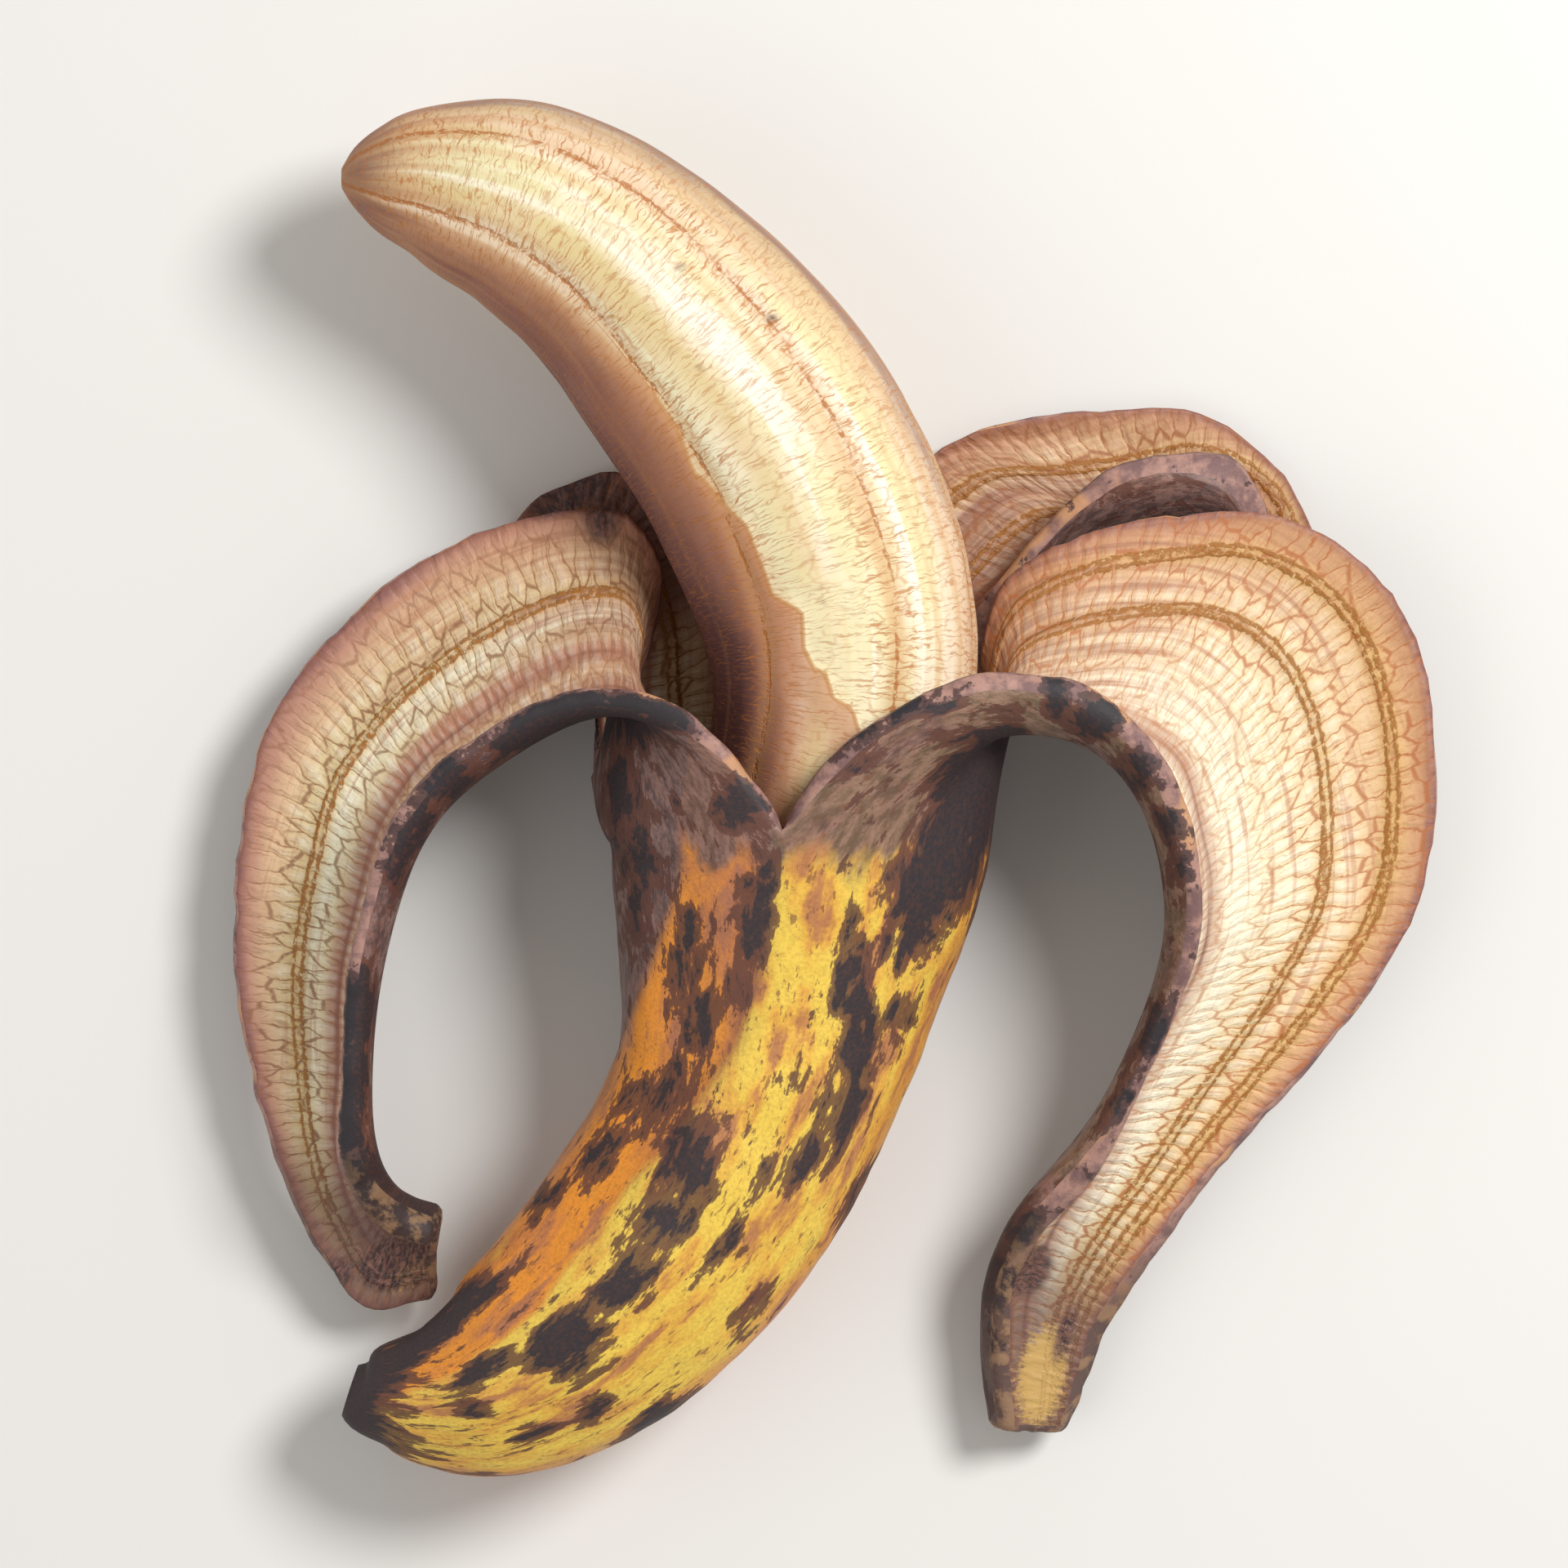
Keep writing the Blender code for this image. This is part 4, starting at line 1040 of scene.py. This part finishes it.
# Distance from the torn layer's line, positive on the side that lost the layer
flap = from_line(grid, FLAP_LINE)
flap = np.where(grid[..., 2] > UPPER_SIDE, flap, UNTORN)
scar = np.zeros(run.shape)
for x, y, size in SCARS:
    far = np.hypot(grid[..., 0] - x, grid[..., 1] - y)
    scar = np.maximum(scar, np.exp(-((far / size) ** 2)) * (grid[..., 2] > UPPER_SIDE))
lumps = lumpy(grid, PULP_LUMPS) - GROOVE_DEPTH * np.exp(-((gap / GROOVE_WIDTH) ** 2))
missing = ease(flap / LAYER_STEP + 0.5) * ease((LAYER_REACH - flap) / LAYER_RISE)
lumps -= LAYER_THICKNESS * missing
grid += unit(grid - centre) * (lumps * ease(run / SMOOTH_TIP))[..., None]
numbers = shell.add(
    grid, lx=theta * MEAN_RADIUS * PULP_SHARE, ly=run, lz=PULP_PLACE, vein=gap,
    side=np.cos(theta), tip=np.exp(-run / WORN_TIP), stripe=stripe, flap=flap, scar=scar,
)
shell.quads(np.concatenate([numbers, numbers[:, :1]], axis=1))
shell.fan(numbers[0], grid[0].mean(axis=0), tip=1.0, lz=PULP_PLACE, flap=UNTORN)
shell.fan(numbers[-1], grid[-1].mean(axis=0), ly=length, lz=PULP_PLACE, flap=UNTORN)

flesh_material, tree, shader = new_material("pulp")
place = known(tree, "lay", True)
vein_gap = known(tree, "vein")
pattern = use_group(
    tree, fibres, Place=place, Vein=vein_gap, Cells=(0.20, 1.0, 1.0), Reach=5.0, Twin=0.0
)
patch = cloud(tree, stretched(tree, place, (0.10, 0.030, 1.0)), 1.0, 4.0, 0.6)
long_bands = cloud(tree, stretched(tree, place, (0.30, 0.012, 1.0), (2.0, 0.0, 0.0)), 1.0, 2.0, 0.5)
hue = tinted(tree, band(tree, patch, 0.42, 0.58), (242, 228, 200), (228, 217, 170))
hue = washed(tree, hue, long_bands, 0.50, 0.62, 0.75, (226, 202, 154))
hue = washed(tree, hue, long_bands, 0.44, 0.34, 0.80, (250, 244, 224))
hue = tinted(tree, band(tree, known(tree, "stripe"), 0.6, 2.6, 0.60, 0.0), hue, (214, 184, 124))
# Painted shade over an orange tan of the pulp's own: the left side darkens to mauve brown, more so
# further along towards the cup, and the right edge goes mauve
side = swung(tree, patch, 0.5)
side = maths(tree, "ADD", known(tree, "side"), side)
side = maths(tree, "ADD", side, band(tree, known(tree, "ly"), 30.0, 120.0, 0.0, 0.34))
for low, high, most, colour in (
    (0.38, 0.68, 0.80, (198, 130, 90)),
    (0.56, 0.88, 0.80, (134, 80, 74)),
    (0.84, 1.10, 0.85, (86, 54, 58)),
    (-0.50, -0.76, 0.50, (208, 162, 122)),
    (-0.76, -0.93, 0.75, (122, 82, 82)),
):
    hue = washed(tree, hue, side, low, high, most, colour)
flap = known(tree, "flap")
bare = faded(tree, band(tree, flap, -0.1, 0.1), band(tree, flap, 6.0, 1.5))
hue = tinted(tree, faded(tree, bare, 0.65), hue, (244, 234, 190))
kept = faded(tree, band(tree, flap, 0.1, -0.1), band(tree, flap, -7.0, -1.0))
hue = tinted(tree, faded(tree, kept, 0.65), hue, (190, 132, 98))
rim_line = band(tree, maths(tree, "ABSOLUTE", flap), 0.10, 0.38, 0.75, 0.0)
hue = tinted(tree, rim_line, hue, (186, 130, 74))
worn = swung(tree, long_bands, 1.2)
worn = maths(tree, "ADD", known(tree, "tip"), worn)
hue = washed(tree, hue, worn, 0.06, 0.45, 0.65, (200, 148, 108))
hue = washed(tree, hue, worn, 0.32, 0.80, 0.80, (128, 86, 80))
near_vein = band(tree, vein_gap, 0.5, 6.5, 0.85, 0.48)
hue = tinted(tree, faded(tree, pattern["Strokes"], near_vein), hue, (188, 118, 60))
hue = tinted(tree, faded(tree, pattern["Fibre"], 0.55), hue, (190, 120, 58))
hue = tinted(tree, band(tree, vein_gap, 0.2, 2.2, 0.40, 0.0), hue, (202, 150, 98))
hue = tinted(tree, faded(tree, pattern["Vein"], 0.85), hue, (176, 104, 44))
hue = tinted(tree, known(tree, "scar"), hue, (96, 52, 30))
rise = faded(tree, pattern["Strokes"], -0.4)
rise = maths(tree, "ADD", rise, faded(tree, pattern["Vein"], -0.6))
finished(tree, shader, hue, 0.6, 0.3, rise, 0.4, 0.0005)

pulp = shell.build("flesh_dressed", (flesh_material,), {"lay": ("lx", "ly", "lz")})
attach(pulp, "root")
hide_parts("flesh")

# STAGE
# A pale floor under the fruit, soft studio light from the upper left, and a camera looking
# straight down on it.

FRUIT_MIDDLE = 0.02  # height of the fruit's middle, m

bpy.ops.mesh.primitive_plane_add(size=6.0, location=(0, 0, 0))
floor = bpy.context.object
floor.name = "floor"
floor_material, tree, shader = new_material("pale_floor")
shader.inputs["Base Color"].default_value = paint(226, 224, 220)
shader.inputs["Roughness"].default_value = 0.9
floor.data.materials.append(floor_material)

for label, place, size, power in (
    ("key", (0.42, 0.30, 0.70), 0.30, 6.5),
    ("fill", (-0.60, -0.20, 0.60), 0.80, 1.5),
):
    lamp = bpy.data.lights.new(label, "AREA")
    lamp.shape = "DISK"
    lamp.size = size
    lamp.energy = power
    stand = bpy.data.objects.new(label, lamp)
    stand.location = place
    aim = Vector((0, 0, FRUIT_MIDDLE)) - Vector(place)
    stand.rotation_euler = aim.to_track_quat("-Z", "Y").to_euler()
    bpy.context.scene.collection.objects.link(stand)

world = bpy.data.worlds.new("soft_sky")
bpy.context.scene.world = world
world.use_nodes = True
world.node_tree.nodes["Background"].inputs[0].default_value = (1.0, 0.99, 0.97, 1.0)
world.node_tree.nodes["Background"].inputs[1].default_value = 0.42
bpy.context.scene.view_settings.view_transform = "Standard"

CAMERA_AIM = (-0.0061, 0.0006)
CAMERA_SPAN = 0.1824  # width seen at the height of the fruit's middle
LENS = 150.0
SENSOR = 36.0
camera_data = bpy.data.cameras.new("camera")
camera_data.lens = LENS
camera_data.sensor_width = SENSOR
camera_data.clip_start = 0.01
camera = bpy.data.objects.new("camera", camera_data)
camera.location = (*CAMERA_AIM, FRUIT_MIDDLE + CAMERA_SPAN * LENS / SENSOR)
bpy.context.scene.collection.objects.link(camera)
bpy.context.scene.camera = camera
